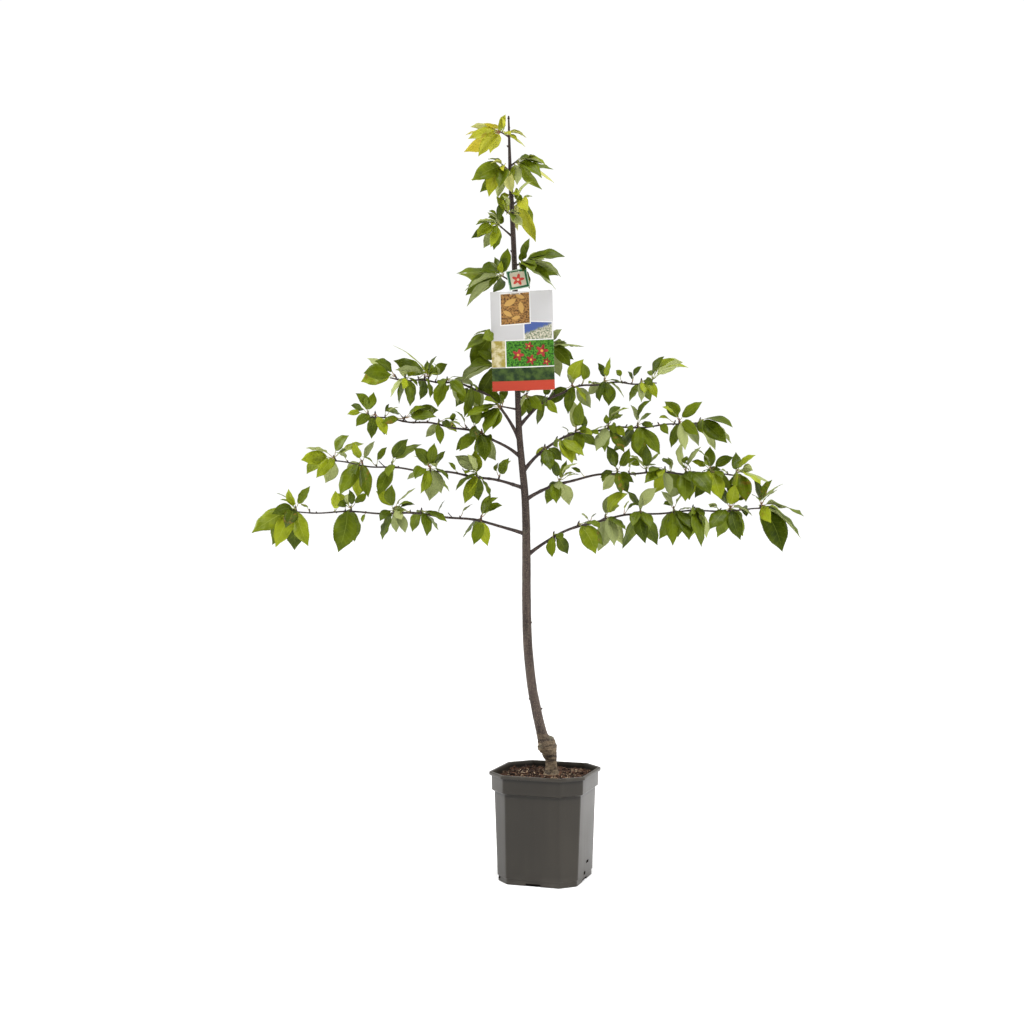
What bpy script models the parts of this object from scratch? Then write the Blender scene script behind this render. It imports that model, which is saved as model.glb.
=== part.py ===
"""Potted cherry tree trained as a fan: pot, compost, trunk, boughs and leafy masses.

Metres, +Z up. The origin is the middle of the pot's underside, +X is to the right of someone
who looks at the tree's face, and -Y points towards them. The tree is trained flat, close to
the XZ plane. Run it with: blender --background --python part.py
"""

import math
import random

import bmesh
import bpy
from mathutils import Matrix, Vector
from mathutils.bvhtree import BVHTree

# Driving dimensions, in metres
TREE_NAME = "potted_cherry_tree"
CLEARANCE = 0.0003           # between pieces that touch
POT_HEIGHT = 0.254
POT_TURN = math.radians(-18.6)
POT_WALL = 0.0018
LIP_HALF_SIDE = 0.1163       # across the flats of the rim, halved
COLLAR_HALF_SIDE = 0.1105
BODY_TOP_HALF_SIDE = 0.105
BODY_FOOT_HALF_SIDE = 0.0975
CHAMFER_SHARE = 0.395        # corner chamfer as a share of the half side, at the rim
CHAMFER_SHARE_FOOT = 0.338
LIP_DEPTH = 0.008
COLLAR_FOOT = 0.212
FOOT_HEIGHT = 0.014
FLOOR_THICKNESS = 0.004
FOOT_RING_WIDTH = 0.014
PAD_HALF_SIDE = 0.032        # middle pad under the floor
FOOT_NOTCH = (0.038, 0.024, 0.0084)      # width, depth and twice the height of the notch in each side
DRAIN_HOLE = (0.011, 0.011, 0.030)
DRAIN_PLACE = (0.052, 0.058)             # along a side, and in from the middle towards it
GROUND = 0.241               # top of the compost
COMPOST_RIM = 0.012          # level margin of the compost inside the wall
CROWN_TOP = 1.791

# The trunk from its flat cut to its tip: height, place along X, diameter
TRUNK_STATIONS = (
    (GROUND + CLEARANCE, 0.0140, 0.0370),
    (0.2510, 0.0140, 0.0300),
    (0.2670, 0.0140, 0.0275),
    (0.2890, 0.0125, 0.0280),
    (0.3070, 0.0060, 0.0330),
    (0.3280, -0.0050, 0.0270),
    (0.3655, -0.0150, 0.0240),
    (0.4055, -0.0233, 0.0230),
    (0.4410, -0.0303, 0.0225),
    (0.4995, -0.0374, 0.0220),
    (0.5580, -0.0420, 0.0215),
    (0.6520, -0.0444, 0.0208),
    (0.7460, -0.0446, 0.0202),
    (0.8400, -0.0455, 0.0185),
    (0.9110, -0.0490, 0.0172),
    (0.9810, -0.0560, 0.0160),
    (1.0520, -0.0620, 0.0148),
    (1.1220, -0.0644, 0.0140),
    (1.2870, -0.0690, 0.0134),
    (1.4465, -0.0730, 0.0126),
    (1.5590, -0.0780, 0.0116),
    (1.6450, -0.0823, 0.0096),
    (1.7050, -0.0843, 0.0072),
    (CROWN_TOP, -0.0865, 0.0040),
)
# Shoulders of the graft: X, Y, height, radius
GRAFT_KNOBS = (
    (0.0110, -0.003, 0.3210, 0.0115),
    (0.0153, 0.002, 0.3090, 0.0120),
    (-0.0050, -0.002, 0.3050, 0.0135),
    (0.0060, 0.007, 0.3100, 0.0140),
)
# Stubs of pruned side shoots on the trunk: height, turn about the trunk in degrees from +X, length
STUB_TIP_RADIUS = 0.0018
TRUNK_STUBS = (
    (0.3880, 15, 0.016), (0.4106, 190, 0.018), (0.5530, 185, 0.013), (0.5920, -25, 0.015),
    (0.6440, 160, 0.013), (0.7100, 20, 0.012), (1.0130, -80, 0.012), (1.3450, 100, 0.010),
)

# Boughs: height where it leaves the trunk, rise to its level stretch, how sharply it levels off,
# lift at the tip, X of the tip, share of its length that is bare, seed of its leaves, and its
# spurs. A spur is: share of the bough's length, leaves, fan from and to in degrees seen from the
# front (0 right, 90 up, 270 down), and blade length in millimetres.
BOUGHS = {
    "left_1": dict(root=0.806, rise=0.0525, power=4.0, lift=0.0, tip=-0.600, bare=0.165, seed=11,
                   spurs=((0.19, 3, 215, 300, 52), (0.20, 2, 35, 75, 50), (0.448, 4, 232, 352, 62),
                          (0.56, 3, 240, 290, 60), (0.565, 3, 10, 165, 52), (0.741, 2, 258, 282, 88),
                          (0.75, 3, 10, 175, 40), (0.975, 5, 198, 305, 94), (0.99, 3, 30, 175, 44))),
    "left_2": dict(root=0.915, rise=0.040, power=4.0, lift=0.025, tip=-0.505, bare=0.115, seed=12,
                   spurs=((0.135, 2, 35, 75, 46), (0.245, 5, 212, 300, 56), (0.26, 3, 80, 150, 52),
                          (0.487, 4, 235, 320, 62), (0.50, 4, 30, 150, 44), (0.68, 2, 238, 268, 64),
                          (0.69, 2, 20, 62, 62), (0.836, 3, 232, 290, 72), (0.845, 2, 40, 140, 40),
                          (0.975, 4, 182, 255, 64), (0.985, 2, 5, 60, 56))),
    "left_3": dict(root=0.987, rise=0.078, power=4.0, lift=0.022, tip=-0.4265, bare=0.215, seed=13,
                   spurs=((0.248, 5, 205, 305, 60), (0.30, 2, 40, 130, 40), (0.5255, 3, 205, 340, 42),
                          (0.753, 2, -8, 24, 62), (0.76, 2, 150, 210, 40), (0.927, 3, 200, 320, 46),
                          (0.97, 3, 60, 185, 40))),
    "left_4": dict(root=1.026, rise=0.139, power=5.0, lift=0.007, tip=-0.361, bare=0.33, seed=14,
                   spurs=((0.376, 3, 215, 300, 60), (0.576, 4, 245, 355, 54), (0.72, 3, 10, 120, 46),
                          (0.7356, 2, 136, 160, 84), (0.745, 2, 240, 290, 46), (0.895, 4, 235, 300, 55),
                          (0.96, 3, 150, 200, 66))),
    "right_1": dict(root=0.755, rise=0.103, power=4.6, lift=0.008, tip=0.512, bare=0.095, seed=21,
                    spurs=((0.115, 3, 240, 310, 48), (0.215, 2, 292, 325, 74), (0.332, 3, 250, 315, 78),
                           (0.34, 2, 30, 72, 62), (0.482, 3, 246, 304, 80), (0.49, 2, 10, 165, 50),
                           (0.624, 4, 245, 298, 76), (0.63, 2, 10, 160, 50), (0.704, 3, 262, 302, 84),
                           (0.86, 4, 215, 318, 76), (0.87, 3, 10, 150, 50), (0.985, 5, 284, 336, 104),
                           (0.99, 3, 10, 120, 54))),
    "right_2": dict(root=0.887, rise=0.067, power=5.0, lift=-0.010, tip=0.465, bare=0.135, seed=22,
                    spurs=((0.156, 3, 240, 300, 56), (0.165, 3, 20, 120, 46), (0.424, 3, 220, 320, 54),
                           (0.43, 2, 45, 130, 46), (0.557, 3, 20, 160, 50), (0.6424, 4, 205, 320, 54),
                           (0.737, 4, 222, 328, 74), (0.745, 2, 40, 110, 52), (0.8515, 3, 235, 325, 62),
                           (0.86, 3, 5, 165, 48), (0.965, 5, 262, 345, 70), (0.98, 2, 15, 100, 46))),
    "right_3": dict(root=0.952, rise=0.103, power=6.0, lift=0.016, tip=0.372, bare=0.10, seed=23,
                    spurs=((0.118, 3, 250, 330, 52), (0.18, 3, 285, 335, 62), (0.2927, 3, 230, 330, 50),
                           (0.30, 2, 70, 112, 66), (0.4757, 4, 215, 305, 60), (0.48, 2, 20, 62, 56),
                           (0.6358, 4, 225, 318, 70), (0.645, 2, 20, 150, 50), (0.8645, 3, 250, 312, 62),
                           (0.87, 2, 0, 175, 54), (0.975, 4, 292, 345, 78))),
    "right_4": dict(root=1.059, rise=0.105, power=4.0, lift=-0.003, tip=0.258, bare=0.16, seed=24,
                    spurs=((0.189, 2, 230, 330, 48), (0.20, 2, 35, 105, 46), (0.393, 3, 205, 325, 64),
                           (0.40, 2, 50, 90, 52), (0.629, 4, 215, 325, 50), (0.64, 2, 60, 130, 42),
                           (0.90, 4, 238, 320, 52), (0.97, 3, 5, 50, 66))),
}
# Masses on the leading shoot: height, direction of the stem (degrees seen from the front, then
# degrees towards the viewer), stem length, and its leaves: number, fan from and to, blade length.
LEADER_MASSES = {
    "collar_left": dict(height=1.100, angle=170, toward=10, stem=0.040, seed=31,
                        fans=((4, 178, 245, 70), (2, 95, 150, 48))),
    "collar_right": dict(height=1.123, angle=35, toward=-20, stem=0.022, seed=32,
                         fans=((3, 265, 345, 48), (2, 40, 110, 44))),
    "card_foot": dict(height=1.190, angle=160, toward=-14, stem=0.046, seed=44,
                      fans=((3, 205, 242, 76), (1, 120, 160, 44))),
    "card_right": dict(height=1.237, angle=12, toward=-14, stem=0.075, seed=33,
                       fans=((4, 275, 360, 62), (1, 30, 60, 46))),
    "card_left": dict(height=1.271, angle=168, toward=-12, stem=0.050, seed=34,
                      fans=((4, 205, 250, 76), (1, 120, 150, 50))),
    "middle_left": dict(height=1.397, angle=150, toward=0, stem=0.034, seed=35,
                        fans=((5, 176, 222, 86), (2, 60, 140, 50))),
    "middle_right": dict(height=1.438, angle=20, toward=5, stem=0.018, seed=36,
                         fans=((4, 312, 362, 88), (1, 64, 80, 46), (1, 300, 308, 58))),
    "upper_left": dict(height=1.505, angle=140, toward=5, stem=0.044, seed=37,
                       fans=((5, 198, 268, 54), (2, 80, 150, 40))),
    "front": dict(height=1.556, angle=152, toward=42, stem=0.018, seed=38,
                  fans=((1, 110, 140, 40), (1, 302, 310, 54))),
    "upper_right": dict(height=1.580, angle=40, toward=5, stem=0.016, seed=39,
                        fans=((1, 284, 296, 92), (1, 20, 60, 40))),
    "back": dict(height=1.605, angle=80, toward=-70, stem=0.014, seed=40,
                 fans=((3, 225, 320, 62),)),
    "crown_right": dict(height=1.672, angle=40, toward=-8, stem=0.018, seed=41,
                        fans=((5, 308, 352, 76), (1, 255, 290, 52))),
    "crown_left": dict(height=1.660, angle=140, toward=8, stem=0.018, seed=42,
                       fans=((5, 196, 256, 68), (1, 265, 285, 50))),
    "top": dict(height=1.742, angle=150, toward=0, stem=0.024, seed=43,
                fans=((4, 182, 230, 76), (2, 60, 120, 34), (2, 320, 350, 46))),
}

# Leaves
BLADE_WIDTH_SHARE = 0.54     # width over length
BLADE_THICKNESS = 0.0017
PETIOLE_LENGTH = 0.017
PETIOLE_RADIUS = 0.0009
# Where the leaf's cross-sections lie: stalk's start and end, then shares of the blade, then its tip
LEAF_RINGS = (-1.0, -1.0, 0.0, 0.26, 0.66, 1.0)
SPUR_LENGTH = 0.012
SPUR_RADII = (0.00216, 0.00189)
STEM_RADII = (0.0026, 0.0017)            # of a mass on the leading shoot, at the trunk and at its tip
STEM_STEPS = 4
STEM_LEAD = 0.004            # straight start of a stem beyond a bough's tip
FAN_STEP = 0.004             # between the fans of one stem
ROOT_SINK = 0.002            # how deep a leaf's stalk starts under the spur's tip
SAME_SPUR = 0.02             # entries closer than this along a bough share one spur
BOUGH_RADIUS = 0.0034        # at the trunk, beyond the collar
TWIG_RADIUS = 0.0016         # at a bough's tip
END_RUN = 0.01               # last straight stretch of a bough, as a share of its reach
LEAF_TRIES = 16
LEAF_MARGIN = 0.0012         # kept from limbs and other masses

# Card and tag that hang on the leading shoot: height of their holes, shift of the middle to the
# right of the shoot, width, height, thickness, turns in degrees, and how far their sides curl forward
LABELS = {
    "care_card": dict(hole=1.3705, shift=0.0140, width=0.146, height=0.234, thickness=0.0010,
                      tilt=1.5, roll=1.5, yaw=4.0, curl=0.004, finish="card"),
    "small_tag": dict(hole=1.4210, shift=0.0045, width=0.049, height=0.049, thickness=0.0008,
                      tilt=13.0, roll=11.0, yaw=0.0, curl=0.001, finish="tag"),
}
HOLE_DROP = 0.0065           # from the label's top edge to its holes
HOLE_RADIUS = 0.0018
LOOP_RADIUS = 0.0008
LOOP_STEPS = 16
LOOP_SLACK = 0.0040          # room between a label and the front of its loop

COLORS = {
    "pot": (0.072, 0.066, 0.060, 0.50), "compost": (0.070, 0.038, 0.022, 0.95),
    "bark": (0.110, 0.080, 0.062, 0.80), "leaf": (0.110, 0.190, 0.030, 0.45),
    "card": (0.55, 0.60, 0.50, 0.40), "tag": (0.10, 0.25, 0.06, 0.40), "loop": (0.75, 0.73, 0.68, 0.50),
}


def clear_scene():
    for piece in list(bpy.data.objects):
        bpy.data.objects.remove(piece, do_unlink=True)


def new_collection(name, helper=False):
    collection = bpy.data.collections.new(name)
    bpy.context.scene.collection.children.link(collection)
    collection.hide_render = helper
    return collection


def material(name):
    found = bpy.data.materials.get(name)
    if found:
        return found
    made = bpy.data.materials.new(name)
    made.use_nodes = True
    shader = made.node_tree.nodes["Principled BSDF"]
    red, green, blue, roughness = COLORS[name]
    shader.inputs["Base Color"].default_value = (red, green, blue, 1.0)
    shader.inputs["Roughness"].default_value = roughness
    shader.inputs["Metallic"].default_value = 0.0
    return made


def add_mesh(name, bm, collection, finish=None):
    """Turns a bmesh into an object of the collection."""
    mesh = bpy.data.meshes.new(name)
    bm.to_mesh(mesh)
    bm.free()
    piece = bpy.data.objects.new(name, mesh)
    collection.objects.link(piece)
    if finish:
        mesh.materials.append(material(finish))
    return piece


def settle(piece):
    """Gives a piece the mesh that its modifiers make, and takes the modifiers off."""
    graph = bpy.context.evaluated_depsgraph_get()
    mesh = bpy.data.meshes.new_from_object(piece.evaluated_get(graph))
    piece.modifiers.clear()
    piece.data = mesh
    return piece


def cut(piece, cutter):
    """Takes the cutter's shape off the piece."""
    change = piece.modifiers.new("cut", "BOOLEAN")
    change.operation = "DIFFERENCE"
    change.object = cutter
    return settle(piece)


def join(piece, helpers):
    """Joins everything in the helper collection to the piece, then removes the helpers."""
    change = piece.modifiers.new("join", "BOOLEAN")
    change.operation = "UNION"
    change.operand_type = "COLLECTION"
    change.collection = helpers
    settle(piece)
    for helper in list(helpers.objects):
        bpy.data.objects.remove(helper, do_unlink=True)
    return piece


def limb(name, points, radii, collection, sides=8, finish="bark"):
    """A round tapering limb along the points, closed at both ends."""
    curve = bpy.data.curves.new(name, "CURVE")
    curve.dimensions = "3D"
    curve.twist_mode = "MINIMUM"
    curve.bevel_depth = 1.0
    curve.bevel_resolution = sides // 2 - 2
    curve.use_fill_caps = True
    line = curve.splines.new("POLY")
    line.points.add(len(points) - 1)
    for spot, point, radius in zip(line.points, points, radii):
        spot.co = (*point, 1.0)
        spot.radius = radius
    guide = bpy.data.objects.new(name + "_guide", curve)
    collection.objects.link(guide)
    graph = bpy.context.evaluated_depsgraph_get()
    mesh = bpy.data.meshes.new_from_object(guide.evaluated_get(graph))
    bpy.data.objects.remove(guide, do_unlink=True)
    bm = bmesh.new()
    bm.from_mesh(mesh)
    bpy.data.meshes.remove(mesh)
    bmesh.ops.remove_doubles(bm, verts=bm.verts, dist=0.00005)
    bmesh.ops.recalc_face_normals(bm, faces=bm.faces)
    piece = add_mesh(name, bm, collection, finish)
    piece.data.shade_smooth()
    return piece


def cone_mesh(start, end, radius_1, radius_2, sides=3):
    """A straight tapering stick from start to end."""
    way = Vector(end) - Vector(start)
    turn = Vector((0, 0, 1)).rotation_difference(way).to_matrix().to_4x4()
    bm = bmesh.new()
    bmesh.ops.create_cone(bm, cap_ends=True, segments=sides, radius1=radius_1, radius2=radius_2,
                          depth=way.length)
    bmesh.ops.transform(bm, matrix=Matrix.Translation((Vector(start) + Vector(end)) / 2) @ turn,
                        verts=bm.verts)
    return bm


def surface_of(piece):
    """A search tree of the piece's faces, for overlap tests."""
    mesh = piece.data
    corners = [piece.matrix_world @ vertex.co for vertex in mesh.vertices]
    return BVHTree.FromPolygons(corners, [tuple(face.vertices) for face in mesh.polygons])


# Pot and compost

def octagon_corner(index, half_side, chamfer):
    """Corner of a square with chamfered corners, counter-clockwise from the front face's left end."""
    flat = half_side - chamfer
    corners = ((-flat, -half_side), (flat, -half_side), (half_side, -flat), (half_side, flat),
               (flat, half_side), (-flat, half_side), (-half_side, flat), (-half_side, -flat))
    return corners[index % 8]


def octagon_stack(rings):
    """A closed solid through octagon rings of (half side, chamfer, height), first ring to last."""
    bm = bmesh.new()
    loop = [bm.verts.new((*octagon_corner(index, *rings[0][:2]), rings[0][2])) for index in range(8)]
    bm.faces.new(loop)
    for half_side, chamfer, height in rings[1:]:
        edges = [bm.edges.get((loop[index], loop[index - 1])) for index in range(8)]
        made = bmesh.ops.extrude_edge_only(bm, edges=edges)["geom"]
        fresh = {item for item in made if isinstance(item, bmesh.types.BMVert)}
        loop = [next(edge.other_vert(vertex) for edge in vertex.link_edges
                     if edge.other_vert(vertex) in fresh) for vertex in loop]
        for index, vertex in enumerate(loop):
            vertex.co = (*octagon_corner(index, half_side, chamfer), height)
    bm.faces.new(loop)
    bmesh.ops.recalc_face_normals(bm, faces=bm.faces)
    return bm


def pot_rings():
    """The pot's section: up its outside, over the rim and down its inside."""
    def chamfer(half_side, height):
        share = CHAMFER_SHARE_FOOT + (CHAMFER_SHARE - CHAMFER_SHARE_FOOT) * height / POT_HEIGHT
        return half_side * share

    outside = ((BODY_FOOT_HALF_SIDE - 0.002, 0.0), (BODY_FOOT_HALF_SIDE - 0.002, FOOT_HEIGHT - 0.001),
               (BODY_FOOT_HALF_SIDE, FOOT_HEIGHT), (BODY_TOP_HALF_SIDE, COLLAR_FOOT - 0.004),
               (COLLAR_HALF_SIDE, COLLAR_FOOT), (COLLAR_HALF_SIDE + 0.0008, POT_HEIGHT - LIP_DEPTH),
               (LIP_HALF_SIDE, POT_HEIGHT - LIP_DEPTH), (LIP_HALF_SIDE, POT_HEIGHT))
    inside = ((COLLAR_HALF_SIDE - POT_WALL + 0.0008, POT_HEIGHT),
              (COLLAR_HALF_SIDE - POT_WALL, COLLAR_FOOT + 0.002),
              (BODY_TOP_HALF_SIDE - POT_WALL, COLLAR_FOOT - 0.002),
              (BODY_FOOT_HALF_SIDE - POT_WALL, FOOT_HEIGHT))
    return [(half, chamfer(half, height), height) for half, height in outside + inside]


def box_cutter(name, size, place, turn, collection):
    bm = bmesh.new()
    bmesh.ops.create_cube(bm, size=1.0)
    bmesh.ops.scale(bm, vec=size, verts=bm.verts)
    bmesh.ops.translate(bm, vec=place, verts=bm.verts)
    bmesh.ops.rotate(bm, matrix=Matrix.Rotation(turn, 3, "Z"), verts=bm.verts)
    return add_mesh(name, bm, collection)


def make_pot(parts, cutters):
    pot = add_mesh("pot", octagon_stack(pot_rings()), parts, "pot")
    pot.data.transform(Matrix.Rotation(POT_TURN, 4, "Z"))
    recess_depth = FOOT_HEIGHT - FLOOR_THICKNESS

    def under_block(name, half_side, low, high):
        chamfer = half_side * CHAMFER_SHARE_FOOT
        block = octagon_stack(((half_side, chamfer, low), (half_side, chamfer, high)))
        return add_mesh(name, block, cutters)

    # A recess runs round under the floor, between the foot ring and a middle pad
    recess = under_block("recess", BODY_FOOT_HALF_SIDE - FOOT_RING_WIDTH, -0.002, recess_depth)
    cut(recess, under_block("core", PAD_HALF_SIDE, -0.004, recess_depth + 0.004))
    recess.data.transform(Matrix.Rotation(POT_TURN, 4, "Z"))
    tools = [recess]
    along, inward = DRAIN_PLACE
    for side in range(4):
        turn = POT_TURN + side * math.pi / 2
        notch_middle = FOOT_NOTCH[1] / 4 - BODY_FOOT_HALF_SIDE
        tools.append(box_cutter("notch", FOOT_NOTCH, (0, notch_middle, 0), turn, cutters))
        for place in (-along, along):
            tools.append(box_cutter("drain", DRAIN_HOLE, (place, -inward, FOOT_HEIGHT), turn, cutters))
    for tool in tools:
        cut(pot, tool)
    for tool in list(cutters.objects):
        bpy.data.objects.remove(tool, do_unlink=True)
    return pot


def make_compost(parts):
    inner = [(half - CLEARANCE, chamfer * (1 - CLEARANCE / half), height)
             for half, chamfer, height in pot_rings()[-3:]]
    floor, step, wall = inner[2], inner[1], inner[0]
    rings = ((floor[0], floor[1], FOOT_HEIGHT + CLEARANCE), (step[0], step[1], step[2] + CLEARANCE),
             (wall[0], wall[1], wall[2] + CLEARANCE), (wall[0], wall[1], GROUND))
    bm = octagon_stack(rings)
    top = max(bm.faces, key=lambda face: face.calc_center_median().z)
    bmesh.ops.inset_region(bm, faces=[top], thickness=COMPOST_RIM)
    wedges = bmesh.ops.poke(bm, faces=[top])["faces"]
    inner_edges = {edge for face in wedges for edge in face.edges}
    bmesh.ops.subdivide_edges(bm, edges=list(inner_edges), cuts=2, use_grid_fill=True)
    rng = random.Random(5)
    trunk_foot = Matrix.Rotation(-POT_TURN, 3, "Z") @ Vector((TRUNK_STATIONS[0][1], 0, 0))
    for vertex in bm.verts:
        inside = max(abs(vertex.co.x), abs(vertex.co.y)) < wall[0] * 0.8
        away = (vertex.co.xy - trunk_foot.xy).length
        if inside and vertex.co.z > GROUND - 0.001 and away > TRUNK_STATIONS[0][2]:
            vertex.co.z += rng.uniform(-0.004, 0.001)
    bmesh.ops.triangulate(bm, faces=[face for face in bm.faces if len(face.verts) > 3])
    compost = add_mesh("compost", bm, parts, "compost")
    compost.data.transform(Matrix.Rotation(POT_TURN, 4, "Z"))
    return compost


# Trunk and boughs

def smooth_between(stations, height):
    """Catmull-Rom value of the columns after the first, at a height."""
    last = len(stations) - 1
    index = max(i for i in range(last) if stations[i][0] <= max(height, stations[0][0]))
    low, high = stations[index], stations[index + 1]
    before, after = stations[max(index - 1, 0)], stations[min(index + 2, last)]
    share = (height - low[0]) / (high[0] - low[0])
    values = []
    for column in range(1, len(low)):
        slope_low = (high[column] - before[column]) / (high[0] - before[0]) * (high[0] - low[0])
        slope_high = (after[column] - low[column]) / (after[0] - low[0]) * (high[0] - low[0])
        square, cube = share ** 2, share ** 3
        values.append((2 * cube - 3 * square + 1) * low[column] + (cube - 2 * square + share) * slope_low
                      + (3 * square - 2 * cube) * high[column] + (cube - square) * slope_high)
    return values


def trunk_at(height):
    """Centre and radius of the trunk at a height."""
    across, thick = smooth_between(TRUNK_STATIONS, height)
    return Vector((across, 0.0, height)), thick / 2


def trunk_line(extra=0.0):
    """Points and radii up the trunk, with extra added to each radius."""
    heights = [TRUNK_STATIONS[0][0]]
    for low, high in zip(TRUNK_STATIONS, TRUNK_STATIONS[1:]):
        steps = max(1, round((high[0] - low[0]) / 0.06))
        heights += [low[0] + (high[0] - low[0]) * (k + 1) / steps for k in range(steps)]
    spots = [trunk_at(height) for height in heights]
    return [spot for spot, radius in spots], [radius + extra for spot, radius in spots]


def make_trunk(parts, helpers):
    trunk = limb("trunk", *trunk_line(), parts, sides=10)
    for across, deep, height, radius in GRAFT_KNOBS:
        bm = bmesh.new()
        bmesh.ops.create_icosphere(bm, subdivisions=2, radius=radius)
        bmesh.ops.translate(bm, vec=(across, deep, height), verts=bm.verts)
        add_mesh("knob", bm, helpers, "bark")
    for height, turn, length in TRUNK_STUBS:
        middle, radius = trunk_at(height)
        way = Vector((math.cos(math.radians(turn)), math.sin(math.radians(turn)), 0.7)).normalized()
        stub = cone_mesh(middle, middle + way * length, radius * 0.35, STUB_TIP_RADIUS, 6)
        add_mesh("stub", stub, helpers, "bark")
    return join(trunk, helpers)


def bough_spot(bough, share):
    """Point of a bough's centre line at a share of its reach, with its slight sway."""
    start = trunk_at(bough["root"])[0]
    across = start.x + (bough["tip"] - start.x) * share
    rise = bough["rise"] * (1 - (1 - share) ** bough["power"])
    sway = math.sin(9.0 * share + bough["seed"]) * share
    height = bough["root"] + rise + bough["lift"] * share ** 3
    height += 0.0022 * math.sin(23.0 * share + 2 * bough["seed"]) * min(1.0, 4 * share)
    return Vector((across, 0.006 * sway, height))


def bough_radius(share):
    """Taper of a bough, with a collar where it leaves the trunk."""
    collar = 0.0024 * math.exp(-share * 22)
    return BOUGH_RADIUS + (TWIG_RADIUS - BOUGH_RADIUS) * share ** 0.8 + collar


def bough_shares(low, high):
    """Shares from low to high, close together where the bough rises steeply."""
    count = max(3, math.ceil((high - low) * 17))
    return [low + (high - low) * (k / count) for k in range(count + 1)]


def make_bough(name, bough, grown_trunk, parts):
    shares = bough_shares(0.0, bough["bare"])
    shares.insert(-1, bough["bare"] - END_RUN)
    points = [bough_spot(bough, share) for share in shares]
    piece = limb("bough_" + name, points, [bough_radius(share) for share in shares], parts)
    return cut(piece, grown_trunk)


# Leaves

def leaf_frame(rng, spur, angle, toward):
    """Places one leaf: its stalk's start in the spur, the blade's arc, its sides and its size.

    angle is the way from start to tip seen from the front, toward is how far that way turns to
    the viewer, and the blade arcs down along the way.
    """
    flat = math.cos(toward)
    way = Vector((math.cos(angle) * flat, -math.sin(toward), math.sin(angle) * flat))
    level = math.sqrt(max(0.0, 1 - way.z ** 2))
    up = Vector((0, 0, 1)) - way * way.z
    outward = Vector((0, -1 if toward > 0 else 1, 0))
    outward -= way * way.dot(outward)
    normal = (up * level + outward * (1.6 - level)).normalized()
    normal = Matrix.Rotation(rng.uniform(-0.45, 0.45), 3, way) @ normal
    bend = rng.uniform(0.35, 0.95) * (0.45 + 0.55 * level) + 0.5 * max(0.0, way.z)
    blade = spur["blade"] * rng.uniform(0.95, 1.25)
    petiole = PETIOLE_LENGTH * rng.uniform(0.7, 1.25)
    lift = 0.35 + 0.6 * (1 - level)
    stalk_way = (way * math.cos(lift) + normal * math.sin(lift)).normalized()
    beside = stalk_way - spur["lean"] * stalk_way.dot(spur["lean"])
    start = spur["tip"] - spur["lean"] * ROOT_SINK + beside * 0.0006
    return dict(start=start, base=start + stalk_way * petiole, way=way, normal=normal,
                across=way.cross(normal), bend=bend, length=blade,
                width=blade * BLADE_WIDTH_SHARE * rng.uniform(0.86, 1.14))


def leaf_point(leaf, share):
    """Point on the blade's middle line, and the upward direction there."""
    first, swing = -leaf["bend"] / 2, leaf["bend"]
    turn = first + swing * share
    ahead = (math.sin(turn) - math.sin(first)) / swing * leaf["length"]
    drop = (math.cos(turn) - math.cos(first)) / swing * leaf["length"]
    spot = leaf["base"] + leaf["way"] * ahead + leaf["normal"] * drop
    return spot, leaf["normal"] * math.cos(turn) + leaf["way"] * math.sin(turn)


def half_width(leaf, share):
    """Half the blade's width at a share of its length: broad before the middle, drawn out at the tip."""
    return leaf["width"] / 2 * max(0.0, math.sin(math.pi * share ** 0.82)) ** 0.9


def leaf_mesh(leaf, extra=0.0, stalk=True):
    """A closed three-sided leaf: stalk, blade and pointed tip. extra thickens it for overlap tests."""
    bm = bmesh.new()
    bmesh.ops.create_uvsphere(bm, u_segments=3, v_segments=len(LEAF_RINGS), radius=1.0)
    stalk_points = []
    for vertex in bm.verts:
        polar = math.acos(max(-1.0, min(1.0, vertex.co.z))) / math.pi
        ring = round(polar * len(LEAF_RINGS))
        corner = round(math.atan2(vertex.co.y, vertex.co.x) / math.radians(120))
        at_pole = ring in (0, len(LEAF_RINGS))
        share = LEAF_RINGS[min(ring, len(LEAF_RINGS) - 1)]
        if share <= 0:
            half, rise, keel = PETIOLE_RADIUS, PETIOLE_RADIUS / 2, PETIOLE_RADIUS
            spot, up = leaf["start" if share < 0 else "base"], leaf["normal"]
        else:
            half, rise, keel = half_width(leaf, share), BLADE_THICKNESS / 2, BLADE_THICKNESS / 2
            spot, up = leaf_point(leaf, share)
        if at_pole:
            vertex.co = spot
        elif corner == 0:
            vertex.co = spot - up * (keel + extra)
        else:
            vertex.co = spot + leaf["across"] * corner * (half + extra) + up * (rise + extra)
        if share < 0:
            stalk_points.append(vertex)
    if not stalk:
        bmesh.ops.delete(bm, geom=stalk_points, context="VERTS")
    bmesh.ops.recalc_face_normals(bm, faces=bm.faces)
    return bm


def tree_of(bm):
    tree = BVHTree.FromBMesh(bm)
    bm.free()
    return tree


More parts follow.
